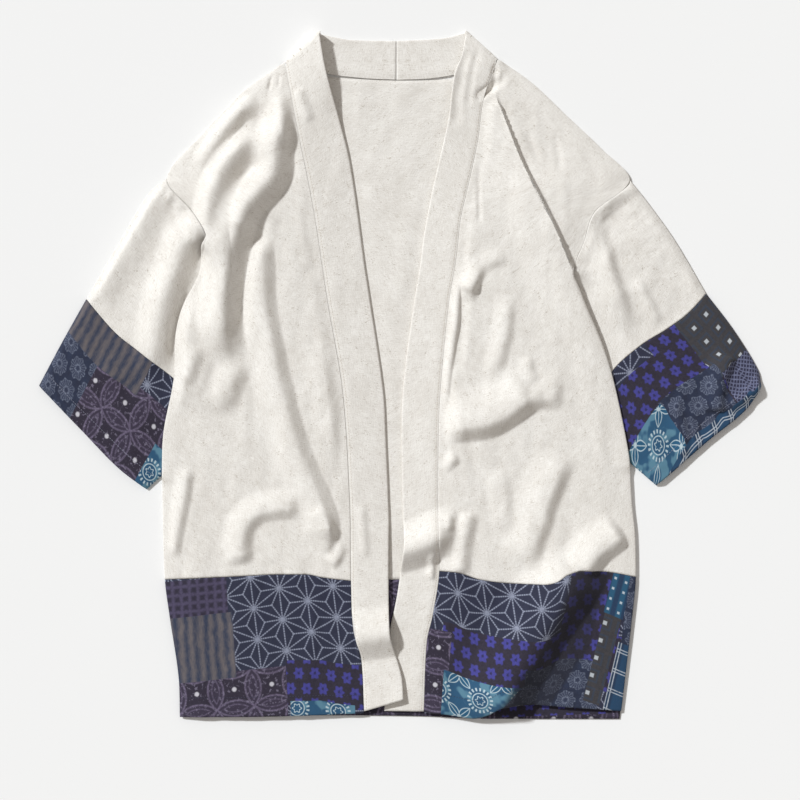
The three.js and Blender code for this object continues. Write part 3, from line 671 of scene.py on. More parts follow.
# %% Folds
# Columns: height, left width, right width, sharpness of the left flank, taper of the ends, path
FOLDS_RIGHT = [
    # the big ridge over the shoulder, whose flank lies in shade, and its wider middle
    (18.5, 23, 30, 0.9, 60, [
        (-114, 334), (-118, 316), (-127, 284), (-140, 258), (-143, 228), (-156, 208), (-173, 190),
        (-184, 163), (-193, 131), (-198, 101), (-200, 73), (-197, 40), (-190, 4)]),
    (4, 36, 26, 0.8, 16, [(-158, 200), (-168, 181), (-177, 157)]),
    (-4, 16, 20, 0, 40, [
        (-150, 190), (-163, 155), (-171, 128), (-176, 100), (-178, 70), (-175, 36)]),
    # three folds that run from the neck's side to the sleeve
    (9, 13, 17, 0.8, 24, [
        (-156, 305), (-178, 296), (-190, 284), (-202, 268), (-211, 253), (-218, 240), (-223, 228)]),
    (17, 24, 21, 0.85, 42, [
        (-146, 271), (-170, 258), (-185, 247), (-198, 231), (-206, 213), (-212, 193), (-214, 168),
        (-212, 140), (-207, 112)]),
    # the long crease down to the hem, and the folds beside it
    (8.5, 15, 34, 0.7, 22, [
        (-157, 156), (-155, 127), (-154, 96), (-151, 64), (-145, 34), (-137, -3), (-130, -33),
        (-119, -72), (-106, -106), (-91, -139), (-82, -167), (-81, -190)]),
    (7, 18, 26, 0.4, 24, [(-176, 22), (-190, -8), (-204, -46)]),
    (8, 62, 26, 0, 50, [(-228, 100), (-240, 40), (-246, -50)]),
    (3.5, 12, 16, 0.3, 16, [(-225, 36), (-234, 10), (-242, -14)]),
    (2.4, 16, 22, 0, 40, [(-98, 40), (-84, -20), (-74, -90)]),
    (4.5, 9, 16, 0.6, 16, [(-238, -100), (-243, -139), (-250, -173), (-255, -205)]),
    # the arch over the hem band
    (7, 13, 26, 0.7, 14, [
        (-112, -148), (-142, -149), (-162, -155), (-174, -168), (-178, -192), (-175, -212)]),
    (4.5, 10, 24, 0.6, 14, [(-95, -143), (-84, -162), (-80, -182), (-86, -200)]),
    (4, 8, 14, 0.6, 8, [(-60, -186), (-68, -200), (-80, -213)]),
    (-1.5, 5, 5, 0, 8, [(-147, -207), (-122, -220)]),
    (-1.2, 10, 8, 0, 10, [(-113, 118), (-99, 116), (-85, 112)]),
    # puckers at the shoulder seam
    (-1.8, 4, 4, 0, 6, [(-145, 337), (-147, 317)]),
    (-1.6, 4, 4, 0, 6, [(-135, 338), (-136, 320)]),
]
FOLDS_LEFT = [
    # the shoulder's gentle fall to its edge
    (5, 90, 60, 0, 60, [(140, 250), (170, 185), (195, 120)]),
    (-1.2, 7, 7, 0, 14, [(139, 275), (149, 252), (156, 235)]),
    (-1.2, 7, 7, 0, 14, [(172, 270), (176, 246), (178, 224)]),
    # the gully beside the collar and its hook
    (-1.8, 8, 5, 0, 10, [(70, 158), (68, 122)]),
    (9.5, 7, 14, 0.85, 20, [(60, 114), (60, 92), (59, 62), (55, 36), (51, 10), (46, -36)]),
    (-2, 12, 8, 0, 14, [(69, 100), (68, 62), (64, 28), (59, 0)]),
    (3, 9, 16, 0.3, 16, [(120, 131), (100, 127), (88, 120)]),
    (6, 9, 18, 0.45, 20, [(94, 127), (87, 117), (81, 103), (77, 90), (75, 80)]),
    (4, 7, 14, 0.4, 10, [(86, 95), (70, 101), (54, 104)]),
    (-1.3, 5, 5, 0, 16, [(86, 241), (88, 165)]),
    (4, 12, 18, 0.2, 30, [(120, 96), (116, 51), (108, 17), (101, -12)]),
    (3, 8, 14, 0.3, 10, [(140, 23), (144, 6), (151, -10)]),
    # the cross crease under its ridge
    (6, 14, 34, 0.6, 16, [(184, -24), (160, -25), (140, -26)]),
    (13.5, 17, 50, 0.8, 26, [
        (158, -16), (144, -24), (128, -35), (111, -47), (94, -54), (72, -57), (45, -60)]),
    (4.5, 10, 12, 0.3, 8, [(64, -88), (44, -104)]),
    (3, 12, 20, 0.1, 20, [(108, -100), (116, -139), (118, -178)]),
    # the long diagonal, and the bulge and the hollow of the hem band
    (8.5, 15, 40, 0.4, 34, [
        (186, -84), (172, -117), (162, -142), (156, -164), (148, -187), (139, -222)]),
    (23, 34, 60, 0.8, 44, [
        (206, -200), (186, -240), (156, -282), (139, -312), (124, -336), (104, -400)]),
    (11.5, 16, 36, 0.75, 12, [(250, -174), (232, -188), (217, -200), (200, -222)]),
    # upright folds beside the collar, over the hem band
    (5, 12, 13, 0.5, 10, [(78, -150), (70, -184), (66, -223)]),
    (3.5, 7, 8, 0.4, 8, [(52, -152), (54, -175)]),
]
# The overlap fold: its outer edge stands over the shoulder as one long sharp line.
LAP_LEFT = [
    (104, 314), (113, 293), (122, 269), (133, 241), (144, 219), (161, 185), (176, 152), (188, 124),
    (200, 98), (211, 76), (229, 38), (242, 2), (249, -34),
]
LAP_HEIGHT = 9.0
LAP_WIDTH = 58.0
LAP_CLIFF = 3.0  # the width of its steep side
LAP_LEAN = 1.8
LAP_WAY = (0.92, 0.4)  # the direction that it leans in
# A pinch at the side of the neck, in the collar and in the front.
PINCH = [
    (-4.8, 7, 9, 0, 12, [(123, 336), (104, 322), (80, 308)]),
    (-3, 6, 7, 0, 10, [(104, 349), (106, 336), (99, 312)]),
]
SLEEVE_FOLDS_RIGHT = [
    (13, 24, 30, 0.8, 40, [
        (-229, 184), (-242, 146), (-250, 122), (-257, 104), (-266, 73), (-272, 40), (-275, -4)]),
    # the raised upper fold, whose inner side lies in light shade
    (4.5, 26, 10, 0.1, 22, [(-254, 214), (-274, 197), (-307, 141), (-342, 80)]),
    (2.4, 4, 5, 0.5, 5, [(-262, 217), (-270, 205)]),
    (2.4, 4, 5, 0.5, 6, [(-252, 208), (-263, 191)]),
    (2.2, 4, 5, 0.5, 6, [(-241, 196), (-252, 180)]),
    (1.6, 12, 16, 0, 24, [(-330, 28), (-318, -20), (-304, -60)]),
]
SLEEVE_FOLDS_LEFT = [
    # the sleeve's gentle fall to its upper edge
    (4, 90, 40, 0, 50, [(212, 176), (238, 110), (262, 50)]),
    (7.4, 9, 26, 0.75, 58, [(216, 176), (225, 148), (235, 114), (248, 78), (261, 40)]),
    (3.6, 5, 12, 0.6, 16, [(262, 112), (276, 84), (292, 54)]),
    (2.2, 3, 5, 0.6, 4, [(221, 193), (226, 172)]),
    (1.8, 3, 5, 0.6, 4, [(229, 198), (232, 178)]),
    # the creases of the printed cuff
    (8, 10, 24, 0.8, 6, [(368, 24), (357, -8), (354, -42)]),
    (6, 10, 14, 0.7, 6, [(408, -6), (386, -22), (364, -36)]),
    (3.5, 5, 16, 0.6, 8, [(306, -26), (314, -50), (318, -70), (318, -92)]),
]
# The collar's folds go on in the front beside its seam.
COLLAR_FOLDS_RIGHT = [
    (2.5, 9, 9, 0.3, 8, [(-115, 322), (-108, 300), (-101, 282)]),
    (14, 26, 36, 0.75, 3, [(8, -284), (-23, -290), (-52, -294)]),
    (1.8, 7, 10, 0.3, 12, [(-44, -140), (-42, -170), (-39, -205)]),
]
COLLAR_FOLDS_LEFT = [
    *PINCH,
    (-2, 9, 9, 0, 14, [(74, 366), (68, 337), (62, 303), (63, 275)]),
    (-1.3, 7, 7, 0, 12, [(87, 366), (78, 331), (75, 297)]),
    (17, 25, 34, 0.8, 6, [(70, -172), (42, -180), (20, -190), (-2, -196), (-16, -198)]),
    (3, 5, 8, 0.4, 8, [(36, -196), (34, -230)]),
]
# How deep the cloth dips along each collar's seam. Columns: y, dip.
SEAM_DIPS_RIGHT = [(360, 0.05), (-60, 0.1), (-120, 0.35), (-376, 0.4)]
SEAM_DIPS_LEFT = [(360, 0.3), (100, 0.3), (-376, 0.4)]
# How far each front's side edge stands over what it lies on. Columns: y, lift.
EDGE_LIFT_RIGHT = [
    (351, 0), (230, 0.2), (150, 0.4), (110, 1.2), (0, 1.8), (-100, 1.2), (-228, 1), (-384, 0.6),
]
EDGE_LIFT_LEFT = [
    (355, 0), (230, 0.2), (130, 0.4), (112, 0.4), (5, 0.6), (-40, 1.4), (-228, 1.5), (-384, 0.8),
]
SLEEVE_RIGHT = {
    "armhole": [(-262, 221), (-233, 184), (-211, 150), (-180, 60), (-155.7, -10.6)],
    "cuff_seam": [(-352, 86), (-319, 48), (-290, 25), (-254, -3), (-200.5, -51.1)],
    "cuff_edge": [(-405, -11), (-357, -61), (-315, -104), (-284.5, -127.1)],
    "upper_fold": [(-262, 221), (-282, 204.5), (-316, 148), (-352, 86)],
    "cuff_fold": [(-352, 86), (-380, 36), (-405, -11)],
}
SLEEVE_LEFT = {
    "armhole": [(256.5, 219), (232, 196), (214, 178), (188, 122), (176, 78), (155.7, -10.6)],
    "cuff_seam": [(341.6, 92), (320, 69), (296.7, 52), (268, 34), (237, 6), (201.6, -50.2)],
    "cuff_edge": [(403.6, -12), (384.7, -39), (342, -74), (301, -110), (285.6, -122.6)],
    "upper_fold": [(256.5, 219), (276, 194.5), (306, 152.5), (341.6, 92)],
    "cuff_fold": [(341.6, 92), (372, 52), (400, 6), (403.6, -12)],
}
RIGHT = {
    "sign": -1, "word": "right", "outer": OUTER_RIGHT, "seam": COLLAR_SEAM_RIGHT,
    "edge": COLLAR_EDGE_RIGHT, "levels": COLLAR_LEVEL_RIGHT, "folds": FOLDS_RIGHT,
    "hem_seam": HEM_SEAM_RIGHT, "hem": HEM_RIGHT, "lift": EDGE_LIFT_RIGHT,
    "seam_dips": SEAM_DIPS_RIGHT, "collar_folds": COLLAR_FOLDS_RIGHT, "flush_from": 130.0,
    "sleeve": SLEEVE_RIGHT, "sleeve_folds": SLEEVE_FOLDS_RIGHT, "sleeve_from": 214.0,
    "sleeve_to": -124.0, "front_top": 349.4, "neck_side": (-130.0, 351.0),
    "neck_corner": (-91.3, 384.7), "collar_end": (-374.6, -361.0),
}
LEFT = {
    "sign": 1, "word": "left", "outer": OUTER_LEFT, "seam": COLLAR_SEAM_LEFT,
    "edge": COLLAR_EDGE_LEFT, "levels": COLLAR_LEVEL_LEFT, "folds": FOLDS_LEFT,
    "hem_seam": HEM_SEAM_LEFT, "hem": HEM_LEFT, "lift": EDGE_LIFT_LEFT,
    "seam_dips": SEAM_DIPS_LEFT, "collar_folds": COLLAR_FOLDS_LEFT, "flush_from": 92.0,
    "sleeve": SLEEVE_LEFT, "sleeve_folds": SLEEVE_FOLDS_LEFT, "sleeve_from": 214.0,
    "sleeve_to": -112.0, "front_top": 352.6, "neck_side": (108.6, 354.5),
    "neck_corner": (73.2, 386.5), "collar_end": (-375.0, -374.6),
}

# %% [markdown]
# ## Curves and heights on whole grids
# Everything below works on arrays, so a grid of ten thousand points costs one call.

# %% Helpers for curves and heights


def mix(a, b, share):
    return a + (b - a) * share


def smooth(value):
    """The smooth step: 3t^2 - 2t^3 for t from 0 to 1."""
    t = np.clip(value, 0, 1)
    return t * t * (3 - 2 * t)


def look_up(rows, key, column=1):
    """A smooth curve through a table: cubics between its rows, whose slopes are those of the
    neighbouring chords, held to three times the chord so that the curve never overshoots."""
    table = np.array(sorted(rows), dtype=float)
    keys, values = table[:, 0], table[:, column]
    chords = np.diff(values) / np.diff(keys)
    between = (values[2:] - values[:-2]) / (keys[2:] - keys[:-2])
    slopes = np.concatenate([chords[:1], between, chords[-1:]])
    i = np.clip(np.searchsorted(keys, key, side="right") - 1, 0, len(keys) - 2)
    span, chord = keys[i + 1] - keys[i], chords[i]
    t = np.clip((key - keys[i]) / span, 0, 1)

    def tame(slope):
        held = np.sign(slope) * np.minimum(np.abs(slope), 3 * np.abs(chord))
        return np.where(slope * chord <= 0, 0.0, held) * span

    return (values[i] * (1 - 3 * t**2 + 2 * t**3) + values[i + 1] * (3 * t**2 - 2 * t**3)
            + tame(slopes[i]) * (t - 2 * t**2 + t**3) + tame(slopes[i + 1]) * (t**3 - t**2))


def along(line, share):
    """The point at a share of a line's length, as x and y."""
    points = np.array(line, dtype=float)
    steps = np.hypot(*np.diff(points, axis=0).T)
    shares = np.concatenate([[0], np.cumsum(steps)]) / steps.sum()
    rows = [tuple(row) for row in np.column_stack([shares, points])]
    return look_up(rows, share, 1), look_up(rows, share, 2)


def beside(path, x, y):
    """Distance to a path, the side of it (above 0 on a walker's left), the way walked along it
    to the nearest point, and the path's length."""
    nearest = np.full_like(x, np.inf)
    side = np.zeros_like(x)
    place = np.zeros_like(x)
    walked = 0.0
    for (ax, ay), (bx, by) in zip(path[:-1], path[1:]):
        dx, dy = bx - ax, by - ay
        length = math.hypot(dx, dy)
        t = np.clip(((x - ax) * dx + (y - ay) * dy) / length**2, 0, 1)
        away = np.hypot(x - ax - dx * t, y - ay - dy * t)
        closer = away < nearest
        nearest = np.where(closer, away, nearest)
        side = np.where(closer, dx * (y - ay) - dy * (x - ax), side)
        place = np.where(closer, walked + t * length, place)
        walked += length
    return nearest, side, place, walked


def curved(path):
    """A path's points with a smooth curve of six steps between each two."""
    x, y = along(path, np.linspace(0, 1, (len(path) - 1) * 6 + 1))
    return list(zip(x, y))


def fold_height(folds, x, y):
    """What the folds add at x, y. Across its path a fold is a raised cosine. Its left flank can
    be sharp instead: a hyperbola, round at the crest, straight below and ending in a line."""
    total = np.zeros_like(x)
    crest = 0.25
    fall = math.hypot(1, crest) - crest
    for height, left, right, sharp, taper, path in folds:
        nearest, side, place, walked = beside(curved(path) if len(path) > 2 else path, x, y)
        t = np.minimum(1, nearest / np.where(side > 0, left, right))
        soft = (1 + np.cos(np.pi * t)) / 2
        straight = 1 - (np.hypot(t, crest) - crest) / fall
        ends = smooth(place / taper) * smooth((walked - place) / taper)
        total += height * ends * np.where(side > 0, mix(soft, straight, sharp), soft)
    return total


def lap(x, y):
    """The overlap fold of the wearer's left front: height and sideways push. The cloth rises
    towards the line, leans over it and falls steeply behind it, so that a dark gap shows."""
    nearest, side, place, walked = beside(curved(LAP_LEFT), x, y)
    begin = smooth(place / 90) * 0.4 + 0.6 * smooth(place / 14)
    begin = begin * smooth((walked - place) / 130)
    behind = side > 0
    rise = (1 + np.cos(np.pi * np.minimum(1, nearest / LAP_WIDTH))) / 2
    height = LAP_HEIGHT * begin * np.where(behind, 1 - smooth(nearest / LAP_CLIFF), rise)
    signed = np.where(behind, nearest, -nearest)
    push = -LAP_LEAN * np.sin(np.pi * np.clip(signed / LAP_CLIFF, -1, 1)) * begin
    return height, push


def crumple(x, y, seed, low=14.0, high=70.0, waves=26, lean=0.55):
    """Small soft creases: a sum of plane waves of random direction and length, each as high as
    it is long, bent by two slow waves so that no crest runs straight. Around 0, about 1 high."""
    rng = np.random.RandomState(seed)
    bend_x = 9 * np.sin(y / 47 + rng.rand() * 6) + 5 * np.sin((x + y) / 31 + rng.rand() * 6)
    bend_y = 9 * np.sin(x / 53 + rng.rand() * 6) + 5 * np.sin((x - y) / 37 + rng.rand() * 6)
    total = np.zeros_like(x)
    for _ in range(waves):
        length = low * (high / low) ** rng.rand()
        angle = rng.normal(0, lean)
        phase = rng.rand() * 2 * np.pi
        run = (x + bend_x) * math.cos(angle) + (y + bend_y) * math.sin(angle)
        total += length / high * np.sin(2 * np.pi * run / length + phase)
    return total / math.sqrt(waves) * 2.2


def flush_share(side, y):
    return smooth((y - side["flush_from"]) / FLUSH_RUN)


def flushness(side, y):
    """Where a front and its sleeve are one smooth surface across the armhole seam."""
    corner = side["sleeve"]["armhole"][0][1]
    return flush_share(side, y) * smooth((corner - y) / FLUSH_END)


def over_sleeve(side, y):
    """1 where the side edge of a front lies on its sleeve, 0 where it lies on the back."""
    return smooth((side["sleeve_from"] - y) / ONTO_SLEEVE) * smooth((y - side["sleeve_to"]) / OFF_SLEEVE)


def front_level(side, x, y):
    """Underside of a front: it leaves its side edge, which lies on the back or the sleeve,
    rises to its loft, carries the folds and comes down to the collar at the seam. Further in,
    the step onto the sleeve is a long slope, and a height below the floor is blended out."""
    inward = np.maximum(0, side["sign"] * (look_up(side["outer"], y) - x))
    wide = smooth((side["sleeve_from"] + 30 - y) / 60) * smooth((y - side["sleeve_to"] + 60) / 150)
    floor_level = mix(ON_BACK, ON_SLEEVE, mix(over_sleeve(side, y), wide, smooth(inward / 30)))
    to_seam = np.maximum(0, side["sign"] * (x - look_up(side["seam"], y)))
    lofted = inward + FLUSH_IN * flushness(side, y)
    loft = LOFT * (1 - np.exp(-lofted / LOFT_RUN))
    free = floor_level + loft + smooth(lofted / EDGE_RUN) * fold_height(side["folds"], x, y)
    if side["sign"] > 0:
        free = free + lap(x, y)[0]
    at_seam = look_up(side["levels"], y, 1) + SEAM_RISE
    rise = mix(at_seam, free, smooth(to_seam / SEAM_RUN)) - floor_level
    lifted = (rise + np.hypot(rise, BLEND)) / 2
    return floor_level + lifted * smooth(EDGE_START + lofted / EDGE_RISE)


def sleeve_top(side, x, y, inside):
    """Top of a flattened sleeve: low beside and under the body, with a crown further out, and
    level with the front where both are one surface. inside is 0 at the sleeve's own folds."""
    edge = look_up(side["outer"], y)
    outward = side["sign"] * (x - edge)
    crown = (SLEEVE_FULL - SLEEVE_FLAT) * smooth((outward - CROWN_FROM) / CROWN_RUN)
    folds = smooth(outward / 9) * fold_height(side["sleeve_folds"], x, y)
    beside_front = front_level(side, edge, y) + CLOTH + look_up(side["lift"], y) - SLEEVE_FLAT
    flush = (1 - smooth(outward / FLUSH_OUT)) * flushness(side, y)
    return SLEEVE_FLAT + inside * np.maximum(0, crown + folds) + np.maximum(0, beside_front) * flush


def armhole_line(side):
    """The sleeve's seam: along the front's edge where both are one surface, under it below."""
    table = side["sleeve"]["armhole"]
    y = np.linspace(table[0][1], table[-1][1], 60)
    under = look_up([(b, a) for a, b in table], y)
    return list(zip(mix(under, look_up(side["outer"], y), flush_share(side, y)), y))


# %% [markdown]
# ## From grids to cloth
# A wall is two grids, the outer and the inner side, joined by rims along their borders. It
# could be one grid with a Solidify modifier; writing both sides keeps folded edges round and
# lets a tube close on itself.

# %% Grids to closed walls


def cloth_uv(grid):
    """Flat coordinates of a grid: the length walked over the cloth across each row and down
    each column. The flat grid keeps the pattern unstretched."""
    across = np.linalg.norm(np.diff(grid, axis=1), axis=2)
    down = np.linalg.norm(np.diff(grid, axis=0), axis=2)
    u = np.concatenate([np.zeros((len(grid), 1)), np.cumsum(across, axis=1)], axis=1)
    v = np.concatenate([np.zeros((1, grid.shape[1])), np.cumsum(down, axis=0)], axis=0)
    return np.dstack([u, v])


def closed_wall(name, outer, inner, uv, material, tube=False):
    """A mesh between two grids in millimetres. uv has a column more than a tube's grid. Its
    faces are those of both grids and a rim along each open border; a turn sets each rim's way
    round, and at the end all are turned outwards."""
    rows, columns = outer.shape[:2]
    spans = columns if tube else columns - 1
    i, j = np.divmod(np.arange((rows - 1) * spans), spans)
    this, beyond = i * columns + j, i * columns + (j + 1) % columns
    side = np.column_stack([this, this + columns, beyond + columns, beyond])
    side_uv = np.stack([uv[i, j], uv[i + 1, j], uv[i + 1, j + 1], uv[i, j + 1]], axis=1)
    faces = [side, side[:, ::-1] + rows * columns]
    corners = [side_uv, side_uv[:, ::-1]]
    k = np.arange(spans)
    borders = [((0, k), (0, k + 1), 1), ((rows - 1, k), (rows - 1, k + 1), -1)]
    if not tube:
        k = np.arange(rows - 1)
        borders += [((k, 0), (k + 1, 0), -1), ((k, columns - 1), (k + 1, columns - 1), 1)]
    for (i, j), (next_i, next_j), turn in borders:
        a, b = i * columns + j, next_i * columns + next_j % columns
        rim = np.column_stack([a, b, b + rows * columns, a + rows * columns])
        rim_uv = np.stack([uv[i, j], uv[next_i, next_j], uv[next_i, next_j], uv[i, j]], axis=1)
        faces.append(rim[:, ::turn])
        corners.append(rim_uv[:, ::turn])
    points = np.concatenate([outer.reshape(-1, 3), inner.reshape(-1, 3)]) * MM
    faces, corners = np.concatenate(faces), np.concatenate(corners) * MM
    a, b, c, d = [points[faces[:, n]] for n in range(4)]
    volume = np.einsum("ij,ij->i", a, np.cross(b, c) + np.cross(c, d)).sum()
    if volume < 0:
        faces, corners = faces[:, ::-1], corners[:, ::-1]
    return mesh_object(name, points, faces, corners, material)


def mesh_object(name, points, faces, corners, material):
    """A smooth-shaded object from points, quads and the UV of each corner, in metres."""
    mesh = bpy.data.meshes.new(name)
    mesh.vertices.add(len(points))
    mesh.vertices.foreach_set("co", points.ravel())
    mesh.loops.add(faces.size)
    mesh.loops.foreach_set("vertex_index", faces.ravel().astype(np.int32))
    mesh.polygons.add(len(faces))
    mesh.polygons.foreach_set("loop_start", np.arange(0, faces.size, faces.shape[1], dtype=np.int32))
    mesh.update(calc_edges=True)
    layer = mesh.uv_layers.new(name="cloth")
    layer.data.foreach_set("uv", corners.reshape(-1, 2).ravel())
    mesh.polygons.foreach_set("use_smooth", np.ones(len(faces), dtype=bool))
    mesh.materials.append(material)
    piece = bpy.data.objects.new(name, mesh)
    bpy.context.scene.collection.objects.link(piece)
    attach(piece, "root")
    print(f"{name}: {len(faces)} faces")
    return piece


def shell(name, grid, thickness, uv, material):
    """A sheet whose upper side is the grid, as thick as the cloth along its normals, which are
    the cross products of its two tangents."""
    normal = np.cross(np.gradient(grid, axis=0), np.gradient(grid, axis=1))
    normal /= np.maximum(1e-9, np.linalg.norm(normal, axis=2, keepdims=True))
    normal *= np.sign(normal[..., 2:3].mean())
    return closed_wall(name, grid, grid - normal * thickness, uv, material)


# %% [markdown]
# ## Stitches
# The collar is topstitched beside its seam, and the cuffs and the hem bands are sewn down above
# their edges. A stitch is a short thread that comes out of the cloth, lies on it and goes back
# in. A bump could draw it; a small bar with six sides keeps its own shadow.

# %% Stitches


def stitches(name, line, material, pitch=3.2, length=2.3, radius=0.26):
    """Stitches along a line of points on the cloth, as one object. Each is a bar with six sides
    and four rings of corners, whose first and last ring are small and lie in the cloth."""
    walked = np.concatenate([[0], np.cumsum(np.linalg.norm(np.diff(line, axis=0), axis=1))])
    starts = np.arange(pitch / 2, walked[-1] - length, pitch)
    first, last = [
        np.column_stack([np.interp(places, walked, line[:, axis]) for axis in range(3)])
        for places in (starts, starts + length)
    ]
    forward = last - first
    sideways = np.cross(forward, (0.0, 0.0, 1.0))
    sideways /= np.linalg.norm(sideways, axis=1, keepdims=True)
    up = np.cross(sideways, forward)
    up /= np.linalg.norm(up, axis=1, keepdims=True)
    angle = (np.arange(6) * np.pi / 3)[None, :, None]
    round_bar = np.cos(angle) * sideways[:, None] + np.sin(angle) * up[:, None]
    rings = []
    for share, size, lift in ((0, 0.3, -0.1), (0.25, 1, 0.1), (0.75, 1, 0.1), (1, 0.3, -0.1)):
        rings.append((mix(first, last, share) + up * lift)[:, None] + round_bar * radius * size)
    ring, corner = np.divmod(np.arange(18), 6)
    this, after = ring * 6 + corner, ring * 6 + (corner + 1) % 6
    sides = np.column_stack([this + 6, after + 6, after, this])
    ends = [(0, 1, 2, 3), (0, 3, 4, 5), (21, 20, 19, 18), (23, 22, 21, 18)]
    one = np.concatenate([sides, ends])
    faces = (one[None] + 24 * np.arange(len(starts))[:, None, None]).reshape(-1, 4)
    points = np.stack(rings, axis=1).reshape(-1, 3) * MM
    return mesh_object(name, points, faces, np.zeros((len(faces), 4, 2)), material)


linen_thread = plain_material("linen_thread", (214, 206, 194), 0.7)
cuff_thread = plain_material("cuff_thread", (146, 148, 166), 0.7)
hem_thread = plain_material("hem_thread", (62, 64, 86), 0.7)

# %% [markdown]
# ## Fronts and their hem bands
# A front is one flat panel of linen that lies on the back, rounded where it folds under at the
# side. Its rows run across from the side edge to the collar. The first columns roll over the
# edge; beside a seam the cloth dips, so that the seam reads as a soft groove.

# %% Fronts
THIN = 1.05  # the cloth's wall as it is drawn
SEAM_DIP = 0.4
SEAM_REACH = 1.4
SEAM_GAP = 0.06  # between a front and its collar, which the solids keep SEAM apart
MOST_STRETCH = 1.7  # a wall on a steep flank is drawn at most this much higher
FRONT_ROWS = 290
FRONT_COLUMNS = 126
HEM_ROWS = 80
HEM_STITCH_ROW = HEM_ROWS - 12
LIFT_RUN = 9.0  # how far in a lifted side edge still shows
COLLAR_FOLD_RUN = 26.0  # how far the collar's folds go on in the front
ROLL_ANGLES = np.radians([150, 120, 90, 68, 45, 22])
FINE = {"low": 7, "high": 18, "waves": 22, "lean": 1.5}  # the finest creases


def front_shares():
    """Shares across a panel, closer together beside both edges."""
    even = np.linspace(0, 1, FRONT_COLUMNS)
    return even - 0.06 * np.sin(2 * np.pi * even)


def front_grid(side, top, low, rows, seams):
    """A front's upper side between two lines. seams holds the ones of them that are sewn."""
    sign = side["sign"]
    shares = front_shares()
    y = mix(top(shares), low(shares), np.linspace(0, 1, rows)[:, None])
    lift = look_up(side["lift"], y)
    flush = flushness(side, y)
    border = look_up(side["outer"], y) - sign * mix(SEAM, 0.05, flush)
    resting = mix(ON_BACK, ON_SLEEVE, over_sleeve(side, y))
    standing = front_level(side, border - sign * 2, y) + CLOTH + lift - resting
    radius = mix(np.clip(standing / 2, 0.5, 5), 0.2, flush)
    radius = np.minimum(radius, np.abs(look_up(side["seam"], y) - border) / 3)[:, :1]
    outer = border - sign * radius
    seam = look_up(side["seam"], y) + sign * SEAM_GAP
    x = mix(outer, seam, shares[None, :])
    inward, to_seam = np.abs(x - outer), np.abs(x - seam)
    slope_x = (front_level(side, x + 1, y) - front_level(side, x - 1, y)) / 2
    slope_y = (front_level(side, x, y + 1) - front_level(side, x, y - 1)) / 2
    stretch = np.minimum(MOST_STRETCH, np.sqrt(1 + slope_x**2 + slope_y**2))
    z = front_level(side, x, y) + CLOTH * stretch + lift * np.exp(-inward / LIFT_RUN)
    creases = 0.34 * crumple(x, y * 0.4, 11 + sign) + 0.08 * crumple(x, y * 0.6, 5, **FINE)
    z += smooth(inward / 25) * smooth(to_seam / 10) * creases
    z -= look_up(side["seam_dips"], y) * np.exp(-to_seam / SEAM_REACH)
    for line in seams:
        z -= SEAM_DIP * np.exp(-np.abs(y - line(shares)) / SEAM_REACH)
    z += fold_height(side["collar_folds"], x, y) * (1 - smooth(to_seam / COLLAR_FOLD_RUN))
    if sign > 0:
        push = lap(x, y)[1] * smooth(inward / 8)
        x, y = x + LAP_WAY[0] * push, y + LAP_WAY[1] * push
    grid = np.dstack([x, y, z])
    edge = grid[:, :1]
    roll = np.dstack([
        edge[..., 0] + sign * radius * np.sin(ROLL_ANGLES),
        np.repeat(edge[..., 1], len(ROLL_ANGLES), axis=1),
        edge[..., 2] - radius * (1 - np.cos(ROLL_ANGLES)) * 0.95,
    ])
    return np.concatenate([roll, grid], axis=1)


def front(side):
    """A linen front from the shoulder to the hem band's seam, and the printed band below it.
    The band's patches lie in the garment's own coordinates, measured from the seam."""
    def seam(share):
        return look_up(side["hem_seam"], share)

    def shoulder(share):
        return np.full_like(share, side["front_top"])

    def above(share):
        return seam(share) + SEAM / 2

    def below(share):
        return seam(share) - SEAM / 2

    def hem(share):
        return look_up(side["hem"], share)

    name = f"front_{side['word']}"
    grid = front_grid(side, shoulder, above, FRONT_ROWS, [above])
    panel = shell(name + "_cloth", grid, THIN, cloth_uv(grid), linen)
    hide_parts(name)
    name += "_hem_band"
    grid = front_grid(side, below, hem, HEM_ROWS, [below])
    uv = grid[..., :2].copy()
    uv[..., 1] += BAND_TOP - below(np.concatenate([ROLL_ANGLES * 0, front_shares()]))
    band = shell(name + "_cloth", grid, THIN, uv, prints[name])
    stitches(name + "_stitches", grid[HEM_STITCH_ROW, len(ROLL_ANGLES) + 2:-2], hem_thread)
    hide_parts(name)
    return panel, band


fronts = {side["word"]: front(side) for side in (RIGHT, LEFT)}

# %% [markdown]
# ## Back and its hem band
# The back lies flat on the surface. Between the collars its inside shows, with the gentle
# waves of cloth that nobody has ironed down; under the fronts it stays flat.

# %% Back
BACK_LEFT_EDGE = [
    (355, 108), (329, 145), (291, 185.5), (253, 225.5), (219, 255.5), (183, 217), (78, 183.5),
    (-10.6, 155), (-98, 255.5), (-145, 258.3), (-228, 262),
]
BACK_RIGHT_EDGE = [
    (351, -129), (322, -171.5), (298, -195.5), (271, -221.5), (221, -261), (184, -232), (150, -210.5),
    (60, -179.5), (-10.6, -155), (-111, -266), (-228, -263.5),
]
BACK_HEM = [(0, -380), (0.4, -380), (0.56, -381), (0.68, -383.9), (1, -383.9)]
BACK_ROWS, BACK_COLUMNS = 140, 120
BAND_ROWS, BAND_COLUMNS = 40, 100
WAVE_HEIGHT = 0.4
NECK_GAP = 0.8
NECK_DIP = 0.5


